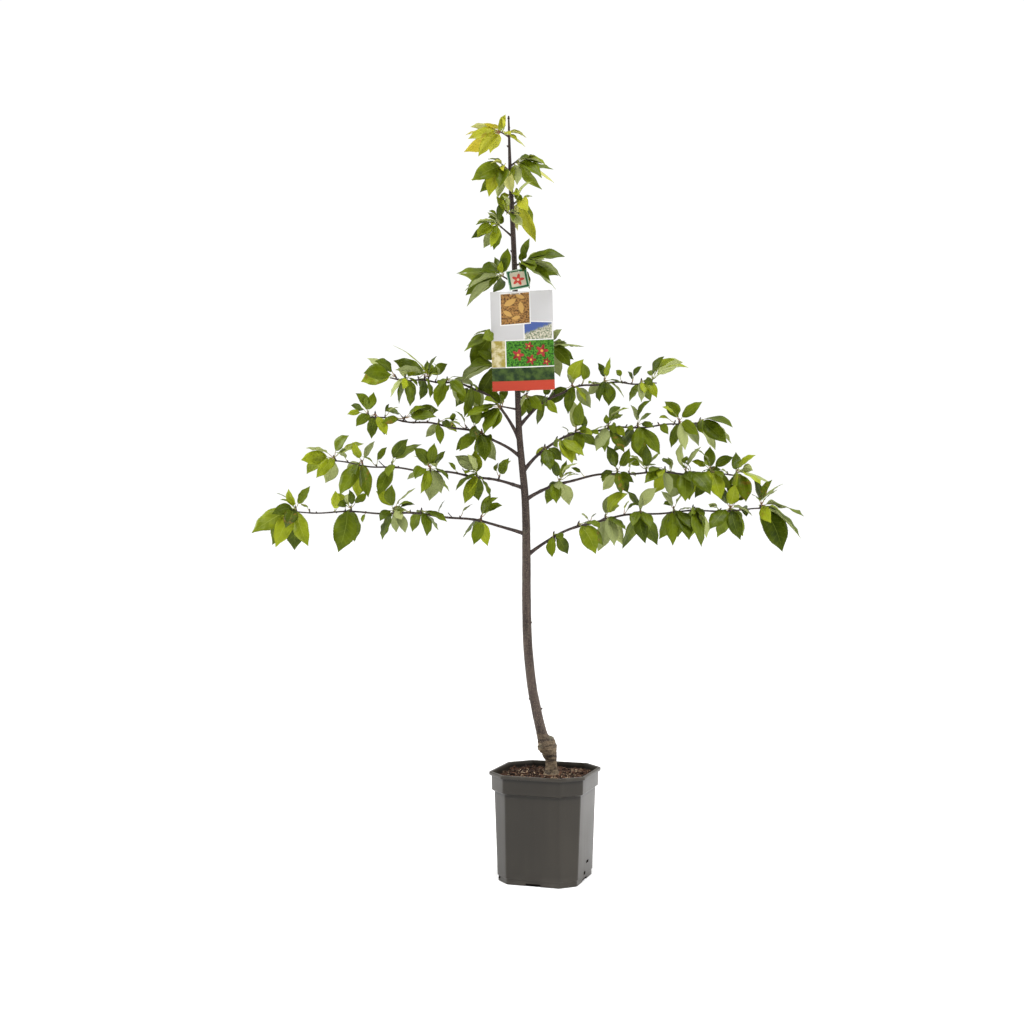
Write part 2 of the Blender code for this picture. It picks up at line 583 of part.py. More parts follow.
def plant_leaves(mass, spur, blocked, own, blades, twigs):
    """Sets leaves round a spur's tip by the seeded rule, and skips one that finds no free place."""
    for number in range(spur["count"]):
        share = (number + 0.5) / spur["count"]
        low, high = spur["fan"]
        side = 1 if (number + spur["key"]) % 2 else -1
        for attempt in range(LEAF_TRIES):
            rng = random.Random(mass["seed"] * 100000 + spur["key"] * 1000 + number * 50 + attempt)
            angle = low + (high - low) * share + rng.uniform(-7, 7) * (1 + attempt / 5)
            toward = side * rng.uniform(12, 34 + 3 * attempt)
            leaf = leaf_frame(rng, spur, math.radians(angle), math.radians(toward))
            whole = tree_of(leaf_mesh(leaf, LEAF_MARGIN))
            if any(whole.overlap(tree) for tree in blocked):
                continue
            blade = tree_of(leaf_mesh(leaf, LEAF_MARGIN, stalk=False))
            if any(blade.overlap(tree) for tree in own) or any(whole.overlap(tree) for tree in blades):
                continue
            add_mesh("leaf", leaf_mesh(leaf), twigs, "leaf")
            own.append(tree_of(leaf_mesh(leaf)))
            blades.append(tree_of(leaf_mesh(leaf, stalk=False)))
            break


def tier_stem(name, bough, parts, twigs, own):
    """The outer stretch of a bough, clear of the bough's tip, with the spurs that stand on it."""
    reach = abs(bough["tip"] - trunk_at(bough["root"])[0].x)
    end, before = bough_spot(bough, bough["bare"]), bough_spot(bough, bough["bare"] - END_RUN)
    run = (end - before).normalized()
    shares = [share for share in bough_shares(bough["bare"], 1.0)
              if (share - bough["bare"]) * reach > 2 * STEM_LEAD]
    points = [end + run * CLEARANCE, end + run * STEM_LEAD] + [bough_spot(bough, share) for share in shares]
    radii = [bough_radius(share) for share in [bough["bare"]] * 2 + shares]
    stem = limb("foliage_" + name, points, radii, parts, sides=6, finish="leaf")
    own.append(surface_of(stem))
    spurs, spur_share = [], -1.0
    for key, (share, count, low, high, blade_mm) in enumerate(bough["spurs"]):
        if share - spur_share > SAME_SPUR:
            spur_share = share
            base = bough_spot(bough, share)
            middle = math.radians((low + high) / 2)
            lean = Vector((math.cos(middle) * 0.4, 0.4 * (-1) ** key, 0.8)).normalized()
            tip = base + lean * SPUR_LENGTH
            stub = cone_mesh(base, tip, *SPUR_RADII, sides=4)
            own.append(surface_of(add_mesh("spur", stub, twigs, "leaf")))
        spurs.append(dict(key=key, tip=tip, lean=lean, count=count, fan=(low, high), blade=blade_mm / 1000))
    return stem, spurs


def leader_stem(name, mass, grown_trunk, parts, own):
    """A stem that meets the trunk's side, with fans of leaves at its tip."""
    root, outside = trunk_at(mass["height"])
    angle, toward = math.radians(mass["angle"]), math.radians(mass["toward"])
    way = Vector((math.cos(angle) * math.cos(toward), -math.sin(toward), math.sin(angle) * math.cos(toward)))
    shares = [step / STEM_STEPS for step in range(STEM_STEPS + 1)]
    points = [root + way * (outside + mass["stem"]) * share for share in shares]
    radii = [STEM_RADII[0] + (STEM_RADII[1] - STEM_RADII[0]) * share for share in shares]
    stem = limb("foliage_" + name, points, radii, parts, sides=6, finish="leaf")
    cut(stem, grown_trunk)
    own.append(surface_of(stem))
    spurs = [dict(key=key, tip=points[-1] - way * (ROOT_SINK + FAN_STEP * key), lean=way, count=count,
                  fan=(low, high), blade=blade_mm / 1000)
             for key, (count, low, high, blade_mm) in enumerate(mass["fans"])]
    return stem, spurs


def make_masses(grown_trunk, solid, parts):
    """Every leafy mass: all stems first, so that no leaf of one mass touches another's."""
    masses = []
    for name, mass in list(BOUGHS.items()) + list(LEADER_MASSES.items()):
        twigs = new_collection("twigs_" + name, helper=True)
        own = []
        if name in BOUGHS:
            stem, spurs = tier_stem(name, mass, parts, twigs, own)
        else:
            stem, spurs = leader_stem(name, mass, grown_trunk, parts, own)
        masses.append((mass, stem, spurs, twigs, own))
    for mass, stem, spurs, twigs, own in masses:
        blocked = solid + [tree for other in masses if other[4] is not own for tree in other[4]]
        blades = []
        for spur in spurs:
            plant_leaves(mass, spur, blocked, own, blades, twigs)
    for mass, stem, spurs, twigs, own in masses:
        join(stem, twigs)
        bpy.data.collections.remove(twigs)


# Card, tag and their loops

def label_place(label):
    """Centre and radii of a label's loop round the leading shoot, and how far in front the label hangs."""
    leader, radius = trunk_at(label["hole"])
    lean_back = HOLE_DROP * math.sin(math.radians(label["tilt"]))
    front = radius + CLEARANCE + label["thickness"] / 2 + lean_back
    back_edge = radius + CLEARANCE + LOOP_RADIUS
    front_edge = front + label["thickness"] / 2 + LOOP_RADIUS + LOOP_SLACK
    middle = (back_edge - front_edge) / 2
    deep = (back_edge + front_edge) / 2
    wide = radius + 0.0050
    hole = wide * math.sqrt(1 - ((front + middle) / deep) ** 2)
    return leader, front, middle, deep, wide, hole


def make_loop(name, wide, middle, deep, place, parts):
    """The ring of a label, level before its place turns it."""
    ring = bpy.data.curves.new(name, "CURVE")
    ring.dimensions = "3D"
    ring.bevel_depth = LOOP_RADIUS
    ring.bevel_resolution = 0
    line = ring.splines.new("POLY")
    line.points.add(LOOP_STEPS - 1)
    for step, spot in enumerate(line.points):
        turn = math.tau * step / LOOP_STEPS
        spot.co = (wide * math.cos(turn), middle + deep * math.sin(turn), 0, 1)
    line.use_cyclic_u = True
    ring.materials.append(material("loop"))
    loop = bpy.data.objects.new(name, ring)
    loop.matrix_world = place
    parts.objects.link(loop)


def make_label(name, label, parts, helpers):
    """A thin curled card in front of the leading shoot, on a loop through its two holes."""
    leader, front, middle, deep, wide, hole_shift = label_place(label)
    width, height = label["width"], label["height"]
    bm = bmesh.new()
    bmesh.ops.create_grid(bm, x_segments=6, y_segments=1, size=0.5)
    bmesh.ops.rotate(bm, matrix=Matrix.Rotation(math.pi / 2, 3, "X"), verts=bm.verts)
    bmesh.ops.scale(bm, vec=(width, 1, height), verts=bm.verts)
    centre = label["shift"] * 2 / width
    for vertex in bm.verts:
        vertex.co.y -= label["curl"] * ((2 * vertex.co.x / width) ** 2 - centre ** 2)
        vertex.co.y -= math.tan(math.radians(label["yaw"])) * (vertex.co.x + label["shift"])
    bmesh.ops.translate(bm, vec=(label["shift"], 0, HOLE_DROP - height / 2), verts=bm.verts)
    bmesh.ops.recalc_face_normals(bm, faces=bm.faces)
    bmesh.ops.solidify(bm, geom=bm.faces, thickness=label["thickness"])
    bmesh.ops.translate(bm, vec=(0, label["thickness"] / 2, 0), verts=bm.verts)
    bmesh.ops.recalc_face_normals(bm, faces=bm.faces)
    piece = add_mesh(name, bm, parts, label["finish"])
    for side in (-1, 1):
        low, high = Vector((side * hole_shift, -0.02, 0)), Vector((side * hole_shift, 0.02, 0))
        punch = add_mesh("punch", cone_mesh(low, high, HOLE_RADIUS, HOLE_RADIUS, 8), helpers)
        cut(piece, punch)
        bpy.data.objects.remove(punch, do_unlink=True)
    roll = Matrix.Translation(leader) @ Matrix.Rotation(math.radians(-label["roll"]), 4, "Y")
    tilt = Matrix.Rotation(math.radians(-label["tilt"]), 4, "X")
    piece.data.transform(roll @ Matrix.Translation((0, -front, 0)) @ tilt)
    make_loop(name + "_loop", wide, middle, deep, roll, parts)
    return piece


def main():
    clear_scene()
    parts = new_collection(TREE_NAME)
    helpers = new_collection("helpers", helper=True)
    solid = [surface_of(make_pot(parts, helpers)), surface_of(make_compost(parts))]
    trunk = make_trunk(parts, helpers)
    grown_trunk = limb("grown_trunk", *trunk_line(CLEARANCE), helpers, sides=10)
    solid.append(surface_of(trunk))
    for name, bough in BOUGHS.items():
        solid.append(surface_of(make_bough(name, bough, grown_trunk, parts)))
    for name, label in LABELS.items():
        solid.append(surface_of(make_label(name, label, parts, helpers)))
    make_masses(grown_trunk, solid, parts)
    bpy.data.objects.remove(grown_trunk, do_unlink=True)
    bpy.data.collections.remove(helpers)


if __name__ == "__main__":
    main()
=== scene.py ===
# Potted cherry tree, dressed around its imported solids. Metres, +Z up, -Y towards the viewer.
import random
from math import ceil, cos, exp, pi, radians, sin, sqrt, tan, tau

import bmesh
import bpy
from mathutils import Matrix, Vector, noise
from mathutils.bvhtree import BVHTree
from mathutils.kdtree import KDTree


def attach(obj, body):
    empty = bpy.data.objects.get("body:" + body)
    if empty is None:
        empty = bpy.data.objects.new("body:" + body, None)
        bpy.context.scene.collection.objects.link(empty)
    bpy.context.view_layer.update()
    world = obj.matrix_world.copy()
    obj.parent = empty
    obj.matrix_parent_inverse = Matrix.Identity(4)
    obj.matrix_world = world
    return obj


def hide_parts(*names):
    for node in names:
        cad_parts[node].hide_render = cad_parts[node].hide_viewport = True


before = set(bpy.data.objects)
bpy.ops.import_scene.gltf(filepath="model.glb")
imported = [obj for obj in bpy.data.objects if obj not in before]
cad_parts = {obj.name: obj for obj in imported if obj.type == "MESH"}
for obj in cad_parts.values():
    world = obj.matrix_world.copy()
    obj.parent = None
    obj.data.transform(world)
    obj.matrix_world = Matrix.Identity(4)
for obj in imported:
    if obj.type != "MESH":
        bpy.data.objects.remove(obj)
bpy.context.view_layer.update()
scene = bpy.context.scene
print("frame loaded:", len(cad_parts), "nodes")


def operator(kind, swapped=False):
    # an operator of Shade that adds a Math node, or its reflected form
    if swapped:
        return lambda value, other: value.maths(kind, other, value)
    return lambda value, other=0.0: value.maths(kind, value, other)


class Shade:
    # one value in a shader: arithmetic on it adds Math nodes, node() adds any other kind
    __add__, __radd__ = operator("ADD"), operator("ADD", True)
    __sub__, __rsub__ = operator("SUBTRACT"), operator("SUBTRACT", True)
    __mul__, __rmul__ = operator("MULTIPLY"), operator("MULTIPLY", True)
    __truediv__, __mod__ = operator("DIVIDE"), operator("FLOORED_MODULO")
    __gt__, __lt__, __abs__ = operator("GREATER_THAN"), operator("LESS_THAN"), operator("ABSOLUTE")

    def __init__(self, tree, socket=None):
        self.tree, self.socket = tree, socket

    def node(self, kind, values=None, settings=None, output=0):
        made = self.tree.nodes.new("ShaderNode" + kind)
        for name, value in (settings or {}).items():
            setattr(made, name, value)
        for name, value in (values or {}).items():
            if isinstance(value, Shade):
                self.tree.links.new(value.socket, made.inputs[name])
            else:
                made.inputs[name].default_value = value
        if output is None:
            return [Shade(self.tree, socket) for socket in made.outputs]
        return Shade(self.tree, made.outputs[output])

    def maths(self, kind, first, second=0.0):
        return self.node("Math", {0: first, 1: second}, {"operation": kind})

    def smooth(self, low, high):
        return self.node("MapRange", {"Value": self, "From Min": low, "From Max": high},
                         {"interpolation_type": "SMOOTHSTEP"})

    def mixed(self, low, high):
        # the colour low where this value is 0 and high where it is 1
        low, high = (value if isinstance(value, Shade) else (*value, 1) for value in (low, high))
        return self.node("Mix", {0: self, 6: low, 7: high}, {"data_type": "RGBA"}, 2)

    def parts(self):
        return self.node("SeparateXYZ", {"Vector": self}, output=None)


class Finish(Shade):
    # a material and what its shader is fed with
    def __init__(self, name, fixed=None):
        self.material = bpy.data.materials.new(name)
        self.material.use_nodes = True
        super().__init__(self.material.node_tree)
        self.shader, self.place = self.tree.nodes["Principled BSDF"], None
        for socket, value in (fixed or {}).items():
            self.feed(socket, value)

    def feed(self, socket, value):
        if isinstance(value, Shade):
            self.tree.links.new(value.socket, self.shader.inputs[socket])
        else:
            self.shader.inputs[socket].default_value = (*value, 1) if isinstance(value, tuple) else value

    def spot(self):
        self.place = self.place or self.node("TexCoord", output=3)
        return self.place

    def skin(self):
        return self.node("UVMap", settings={"uv_map": "skin"}).parts()[:2]

    def tone(self):
        return self.node("Attribute", settings={"attribute_name": "tone"}, output=1).parts()

    def noise(self, scale, detail=3.0, roughness=0.5, place=None):
        # a scale of three numbers stretches the pattern
        place = place or self.spot()
        if isinstance(scale, tuple):
            place, scale = self.node("Mapping", {"Vector": place, "Scale": scale}), 1.0
        return self.node("TexNoise", {
            "Vector": place, "Scale": scale, "Detail": detail, "Roughness": roughness})

    def relief(self, height, strength, distance):
        self.feed("Normal", self.node("Bump", {"Height": height, "Strength": strength, "Distance": distance}))


def addObject(name, data):
    made = bpy.data.objects.new(name, data)
    scene.collection.objects.link(made)
    return made


def toMesh(name, bm):
    mesh = bpy.data.meshes.new(name)
    bm.to_mesh(mesh)
    bm.free()
    return mesh


def addPiece(name, bm, finishes, slot, replaced=(), smooth=True):
    # one finished piece that rides on the tree's only body
    piece = addObject(name, toMesh(name, bm))
    piece.data.polygons.foreach_set("use_smooth", [smooth] * len(piece.data.polygons))
    for finish in finishes:
        piece.data.materials.append(finish.material)
    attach(piece, "root")
    if replaced:
        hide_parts(*replaced)
    return piece


def thicken(piece, thickness, offset, rim=0):
    # gives a sheet its thickness; the far side wears the second finish
    shell = piece.modifiers.new("thickness", "SOLIDIFY")
    shell.thickness, shell.offset, shell.material_offset = thickness, offset, 1
    shell.material_offset_rim = rim


def evenly(count):
    # the ends of count equal steps from 0 to 1
    return [k / count for k in range(count + 1)]


def named(keys, rows):
    # a dictionary of dictionaries from rows that start with a name
    return {name: dict(zip(keys.split(), values)) for name, *values in rows}


def newHeap():
    # an empty mesh that takes in many parts of one kind
    heap = bmesh.new()
    heap.loops.layers.uv.new("skin")
    heap.verts.layers.float_color.new("tone")
    return heap


def pour(heap, part, tone=(0, 0)):
    layer = part.verts.layers.float_color["tone"]
    for vertex in part.verts:
        vertex[layer] = (*tone, 0, 1)
    mesh = toMesh("part", part)
    heap.from_mesh(mesh)
    bpy.data.meshes.remove(mesh)


def wrapGrid(across, along, place):
    # a grid bent by place(u, v) into a leaf, a tube or a shell; edges that meet are merged
    bm = newHeap()
    bmesh.ops.create_grid(bm, x_segments=across, y_segments=along, size=0.5, calc_uvs=True)
    for vertex in bm.verts:
        vertex.co = place(vertex.co.x + 0.5, vertex.co.y + 0.5)
    bmesh.ops.remove_doubles(bm, verts=bm.verts, dist=0.000002)
    return bm


def growLimb(points, radii, around=8, relief=None, firstSide=None):
    # a round tapering limb with closed ends; relief(turn, step, way) scales its radius
    last = len(points) - 1
    side = Vector(firstSide) if firstSide else (points[1] - points[0]).normalized().orthogonal()
    rings = []
    for step, point in enumerate(points):
        ahead = (points[min(step + 1, last)] - points[max(step - 1, 0)]).normalized()
        side = (side - ahead * side.dot(ahead)).normalized()
        rings.append((point, side, ahead.cross(side), radii[step], step))
    rings = [(*rings[0][:3], 0.0, 0)] + rings + [(*rings[-1][:3], 0.0, last)]

    def place(u, v):
        point, side, other, radius, step = rings[round(v * (last + 2))]
        turn = tau * u
        way = side * cos(turn) + other * sin(turn)
        return point + way * radius * (relief(turn, step, way) if relief else 1)

    return wrapGrid(around, last + 2, place)


def punch(piece, cutters):
    # takes every cutter off a piece for good; the new faces wear its second finish
    for cutter in cutters:
        for face in cutter.faces:
            face.material_index = 1
        tool = addObject("cutter", toMesh("cutter", cutter))
        for material in piece.data.materials:
            tool.data.materials.append(material)
        change = piece.modifiers.new("punch", "BOOLEAN")
        change.operation, change.object = "DIFFERENCE", tool
        graph = bpy.context.evaluated_depsgraph_get()
        finished = bpy.data.meshes.new_from_object(piece.evaluated_get(graph))
        piece.modifiers.clear()
        piece.data = finished
        bpy.data.objects.remove(tool, do_unlink=True)


# Pot. A cut is its size, its place on the front wall and the quarter turns that bring it to its walls;
# each band of painted shade under the lip and the collar is the heights between which it is painted, and the
# edge where it ends.
pot = dict(
    turn=radians(-18.6), height=0.254, wall=0.0018, lipHalf=0.1163, lipDepth=0.008, collarHalf=0.1105,
    collarFoot=0.212, topHalf=0.105, footHalf=0.0975, foot=0.014, floor=0.004, chamferTop=0.395,
    chamferFoot=0.338, edgeRound=0.0036, pathRound=0.0016, footRing=0.014, padHalf=0.032, step=0.002,
    flare=0.0008, base=(0.0235, 0.02, 0.0152), dust=(0.12, 0.108, 0.092), roughness=0.3,
    eaves=((0.236, 0.245, 0.2468), (0.199, 0.207, 0.21)),
    cuts=(((0.036, 0.01, 0.012), (0, -0.0975, 0), (0, 1, 2, 3)),
          ((0.011, 0.011, 0.03), (-0.052, -0.058, 0.014), (0, 1, 2, 3)),
          ((0.011, 0.011, 0.03), (0.052, -0.058, 0.014), (0, 1, 2, 3)),
          ((0.018, 0.012, 0.006), (0.013, -0.0975, 0.042), (1,)),
          ((0.018, 0.012, 0.006), (-0.013, -0.0975, 0.042), (3,)),
          ((0.012, 0.012, 0.008), (-0.0078, -0.0975, 0.019), (1,)),
          ((0.012, 0.012, 0.008), (0.0078, -0.0975, 0.019), (3,)),
          ((0.008, 0.02, 0.005), (-0.016, -0.116, 0.0085), (-0.5,))))


def curve(start, here, end, t):
    return start * (1 - t) ** 2 + here * (2 * t * (1 - t)) + end * t * t


def octagonPoint(step, half, height):
    # outline of the pot at a height: five points round each corner, three along each flat
    share = pot["chamferFoot"] + (pot["chamferTop"] - pot["chamferFoot"]) * height / pot["height"]
    flat = half * (1 - share)
    corners = ((-flat, -half), (flat, -half), (half, -flat), (half, flat),
               (flat, half), (-flat, half), (-half, flat), (-half, -flat))
    corner, part = divmod(step % 64, 8)
    before, here, after = (Vector(corners[(corner + k) % 8]) for k in (-1, 0, 1))
    soft = min(pot["edgeRound"], half * 0.2)
    turnOut = here + (after - here).normalized() * soft
    if part <= 4:
        return curve(here + (before - here).normalized() * soft, here, turnOut, part / 4)
    return turnOut.lerp(after + (here - after).normalized() * soft, (part - 4) / 4)


def rounded(path, soft):
    # the path with each inner corner turned in four short steps
    made = [path[0]]
    for before, here, after in zip(path, path[1:], path[2:]):
        before, here, after = Vector(before), Vector(here), Vector(after)
        reach = min(soft, (here - before).length * 0.45, (after - here).length * 0.45)
        start, end = here + (before - here).normalized() * reach, here + (after - here).normalized() * reach
        made += [curve(start, here, end, t) for t in (0, 0.33, 0.67, 1)]
    return made + [path[-1]]


def octagonShell(path, wander=None):
    # a closed shell whose section follows the path of (half side, height) round the pot's outline
    def place(u, v):
        half, height = path[round(v * (len(path) - 1))]
        spot = octagonPoint(round(u * 64), half, height) if half > 0 else Vector((0, 0))
        spot = Vector((spot.x, spot.y, height))
        spot.rotate(Matrix.Rotation(pot["turn"], 3, "Z"))
        return spot + wander(spot) if wander else spot

    return wrapGrid(64, len(path) - 1, place)


def makePot():
    lip, collar, top, low = (pot[part + "Half"] for part in ("lip", "collar", "top", "foot"))
    wall, high, foot, step, pad = (pot[part] for part in ("wall", "height", "foot", "step", "padHalf"))
    under, ring = foot - pot["floor"], low - pot["footRing"]
    shelf, rim = pot["collarFoot"], high - pot["lipDepth"]
    path = [(0, 0), (pad, 0), (pad, under), (ring, under), (ring, 0), (low - step, 0),
            (low - step, foot - step / 2), (low, foot), (top, shelf - 2 * step), (collar, shelf),
            (collar + pot["flare"], rim), (lip, rim), (lip, high), (collar - wall + pot["flare"], high),
            (collar - wall, shelf + step), (top - wall, shelf - step), (low - wall, foot), (0, foot)]
    # near black on the faces that the cuts leave: soil in the holes, and painted shade in the notches at the
    # foot of the walls
    soilAndShade = Finish("potSoilAndShade", {
        "Base Color": (0.005, 0.004, 0.003), "Roughness": 0.9, "Specular IOR Level": 0.1})
    shell = octagonShell(rounded(path, pot["pathRound"]))
    piece = addPiece("potShell", shell, [potFinish(), soilAndShade], "pot", ["pot"])
    cutters = []
    for quarter in (0, 1, 2, 3, -0.5):
        turn = Matrix.Rotation(pot["turn"] + quarter * pi / 2, 3, "Z")
        for size, place, quarters in pot["cuts"]:
            if quarter in quarters:
                cutter = bmesh.new()
                bmesh.ops.create_cube(cutter, size=1.0)
                bmesh.ops.scale(cutter, vec=size, verts=cutter.verts)
                bmesh.ops.translate(cutter, vec=place, verts=cutter.verts)
                bmesh.ops.rotate(cutter, matrix=turn, verts=cutter.verts)
                cutters.append(cutter)
    punch(piece, cutters)
    piece.data.set_sharp_from_angle(angle=radians(50))


def potFinish():
    finish = Finish("potPlastic", {"Specular IOR Level": 0.24})
    height = finish.spot().parts()[2]
    cloud, flow = finish.noise(9.0, 4.0, 0.6), finish.noise((26, 26, 3))
    specks = finish.noise(420.0, 2.0).smooth(0.66, 0.74)
    scuffs = finish.noise((18, 18, 190), 5.0, 0.65).smooth(0.6, 0.74)
    rimDust = height.smooth(0.245, 0.254) * 0.5 + (0.03 - height).smooth(0, 0.03) * 0.35
    dust = rimDust * cloud.smooth(0.35, 0.65) + scuffs * cloud.smooth(0.5, 0.7) * 0.35 + specks * 0.12
    tone = (flow * 0.4 + finish.noise(6.0, 1.0) * 0.6).smooth(0.35, 0.65).mixed(
        pot["base"], tuple(value * 1.4 for value in pot["base"]))
    # painted shade: dark bands just under the lip and under the collar, where their overhangs throw shadow
    lip, collar = (height.smooth(low, high) * (edge - height).smooth(0, 0.0006)
                   for low, high, edge in pot["eaves"])
    tone = ((lip + collar) * 0.6).mixed(tone, tuple(value * 0.15 for value in pot["base"]))
    finish.feed("Base Color", (dust * 0.8).mixed(tone, pot["dust"]))
    finish.feed("Roughness", pot["roughness"] + 0.1 * cloud + 0.25 * dust)
    finish.relief(flow * 0.8 + cloud * 0.6 + scuffs * 0.2, 0.2, 0.0012)
    return finish


makePot()
print("pot built")

# Compost and its bark chips
compost = dict(
    level=0.241, chips=1650, floor=0.0143, gap=0.0003, rim=0.004, rings=26, seed=11, trunkRoom=0.019,
    kinds=named("share longest low high", (
        ("darkChips", 0.46, 0.0125, (0.012, 0.0065, 0.004), (0.048, 0.025, 0.015)),
        ("redChips", 0.36, 0.0125, (0.044, 0.021, 0.012), (0.125, 0.062, 0.035)),
        ("paleChips", 0.18, 0.0085, (0.17, 0.11, 0.064), (0.42, 0.32, 0.215)))))


def compostHeight(spot):
    # small heaps and hollows of the surface
    return noise.noise(spot * 55) * 0.0024 + noise.noise(spot * 160) * 0.0016 - 0.0012


def makeCompost():
    inner, ledge, wall = (pot[part] - pot["wall"] - compost["gap"]
                          for part in ("footHalf", "topHalf", "collarHalf"))
    level, rim = compost["level"], compost["rim"]
    path = [(0, compost["floor"]), (inner, compost["floor"]),
            (ledge, pot["collarFoot"] - pot["step"] + compost["gap"]),
            (wall, pot["collarFoot"] + pot["step"] + compost["gap"]), (wall, level - rim)]
    path += [(wall * (1 - k / compost["rings"]), level - rim * (1 - min(1, k / 3)))
             for k in range(1, compost["rings"] + 1)]

    def wander(spot):
        return Vector((0, 0, compostHeight(spot) if spot.z > level - 0.003 else 0.0))

    finish = Finish("compostCrumb", {"Roughness": 0.95, "Specular IOR Level": 0.2})
    crumbs = finish.noise(260.0, 6.0, 0.7)
    finish.feed("Base Color", crumbs.smooth(0.42, 0.66).mixed((0.01, 0.006, 0.004), (0.075, 0.034, 0.018)))
    finish.relief(crumbs + 0.5 * finish.noise(900.0, 4.0), 0.9, 0.002)
    addPiece("compostBody", octagonShell(path, wander), [finish], "compost", ["compost"])


def chipFinish(name, look):
    finish = Finish(name, {"Roughness": 0.86, "Specular IOR Level": 0.25})
    grain = finish.noise((300, 300, 900), 4.0, 0.6)
    blend = finish.tone()[0] * 0.7 + grain.smooth(0.3, 0.7) * 0.3
    finish.feed("Base Color", blend.mixed(look["low"], look["high"]))
    finish.relief(grain, 0.6, 0.0008)
    return finish


def makeChips():
    rng = random.Random(compost["seed"])
    kinds = compost["kinds"]
    heaps = {kind: newHeap() for kind in kinds}
    shares = [look["share"] for look in kinds.values()]
    reach = (pot["collarHalf"] - pot["wall"]) * 0.93
    trunkFoot = trunkAt(trunk["stations"][0][0])[0]
    for number in range(compost["chips"]):
        across, deep = rng.uniform(-1, 1), rng.uniform(-1, 1)
        spot = Vector((across * reach, deep * reach, compost["level"]))
        spot.rotate(Matrix.Rotation(pot["turn"], 3, "Z"))
        nearTrunk = (spot.xy - trunkFoot.xy).length < compost["trunkRoom"]
        if abs(across) + abs(deep) > 2 - pot["chamferTop"] or nearTrunk:
            continue
        kind = rng.choices(list(kinds), shares)[0]
        chip = newHeap()
        bmesh.ops.create_cube(chip, size=1.0, calc_uvs=True)
        bmesh.ops.subdivide_edges(chip, edges=chip.edges, cuts=1, use_grid_fill=True)
        long = rng.uniform(0.004, kinds[kind]["longest"])
        size = (long, long * rng.uniform(0.16, 0.45), rng.uniform(0.0012, 0.0028))
        bmesh.ops.scale(chip, vec=size, verts=chip.verts)
        for vertex in chip.verts:
            # pointed ends, rough faces and a slight bow
            vertex.co.y *= 1 - 0.55 * abs(vertex.co.x / long * 2) ** 2
            vertex.co += Vector((rng.uniform(-1, 1), rng.uniform(-1, 1), rng.uniform(-0.6, 0.6))) * 0.0006
            vertex.co.z += 0.12 * vertex.co.x * vertex.co.x / long
        turn = Matrix.Rotation(rng.uniform(0, tau), 4, "Z") @ Matrix.Rotation(rng.gauss(0, 0.35), 4, "X")
        turn = turn @ Matrix.Rotation(rng.gauss(0, 0.32), 4, "Y")
        spot.z += compostHeight(spot) + rng.uniform(0.0002, 0.003)
        bmesh.ops.transform(chip, matrix=Matrix.Translation(spot) @ turn, verts=chip.verts)
        pour(heaps[kind], chip, (rng.random(), rng.random()))
    for kind, heap in heaps.items():
        addPiece(kind, heap, [chipFinish(kind, kinds[kind])], "compost", smooth=False)


# Trunk. Stations are height, place along X and diameter; knobs and swells of the graft are a middle
# and a radius; stubs are height, turn about the trunk and length; buds are height and turn.
trunk = dict(
    crown=1.791, around=44, ringEvery=0.003, graftFoot=0.26, graftTop=0.352, graftEvery=0.0014,
    graftSoft=0.002, flare=0.1, rough=0.03, fine=0.022, crack=0.16,
    swells=((0.0045, -0.001, 0.289, 0.0118), (0.015, 0.001, 0.296, 0.01),
            (-0.0068, -0.001, 0.319, 0.0108)),
    knobs=((0.011, -0.003, 0.321, 0.0115), (0.0153, 0.002, 0.309, 0.012),
           (-0.005, -0.002, 0.305, 0.0135), (0.006, 0.007, 0.31, 0.014)),
    stations=(
        (0.2413, 0.014, 0.037), (0.251, 0.014, 0.03), (0.267, 0.014, 0.0275), (0.289, 0.0125, 0.028),
        (0.307, 0.006, 0.033), (0.328, -0.005, 0.027), (0.3655, -0.015, 0.024), (0.4055, -0.0233, 0.023),
        (0.441, -0.0303, 0.0225), (0.4995, -0.0374, 0.022), (0.558, -0.042, 0.0215),
        (0.652, -0.0444, 0.0208), (0.746, -0.0446, 0.0202), (0.84, -0.0455, 0.0185),
        (0.911, -0.049, 0.0172), (0.981, -0.056, 0.016), (1.052, -0.062, 0.0148), (1.122, -0.0644, 0.014),
        (1.287, -0.069, 0.0134), (1.4465, -0.073, 0.0126), (1.559, -0.078, 0.0116),
        (1.645, -0.0823, 0.0096), (1.705, -0.0843, 0.0072), (1.791, -0.0865, 0.004)),
    stubs=((0.388, 15, 0.016), (0.4106, 190, 0.018), (0.553, 185, 0.013), (0.592, -25, 0.015),
           (0.644, 160, 0.013), (0.71, 20, 0.012), (1.013, -80, 0.012), (1.345, 100, 0.01)),
    buds=((1.745, 250), (1.762, 70), (1.718, 160), (1.47, 200), (1.312, 20), (1.18, 300),
          (1.63, 330)))


def trunkAt(height):
    # centre and radius of the trunk at a height, by a smooth curve through the stations
    stations = trunk["stations"]
    last = len(stations) - 1
    index = max(k for k in range(last) if stations[k][0] <= max(height, stations[0][0]))
    before, low, high, after = (stations[min(max(index + k, 0), last)] for k in (-1, 0, 1, 2))
    run = high[0] - low[0]
    t = (height - low[0]) / run
    values = []
    for column in (1, 2):
        slopeLow = (high[column] - before[column]) / (high[0] - before[0]) * run
        slopeHigh = (after[column] - low[column]) / (after[0] - low[0]) * run
        values.append((2 * t ** 3 - 3 * t * t + 1) * low[column] + (t ** 3 - 2 * t * t + t) * slopeLow
                      + (3 * t * t - 2 * t ** 3) * high[column] + (t ** 3 - t * t) * slopeHigh)
    return Vector((values[0], 0.0, height)), values[1] / 2


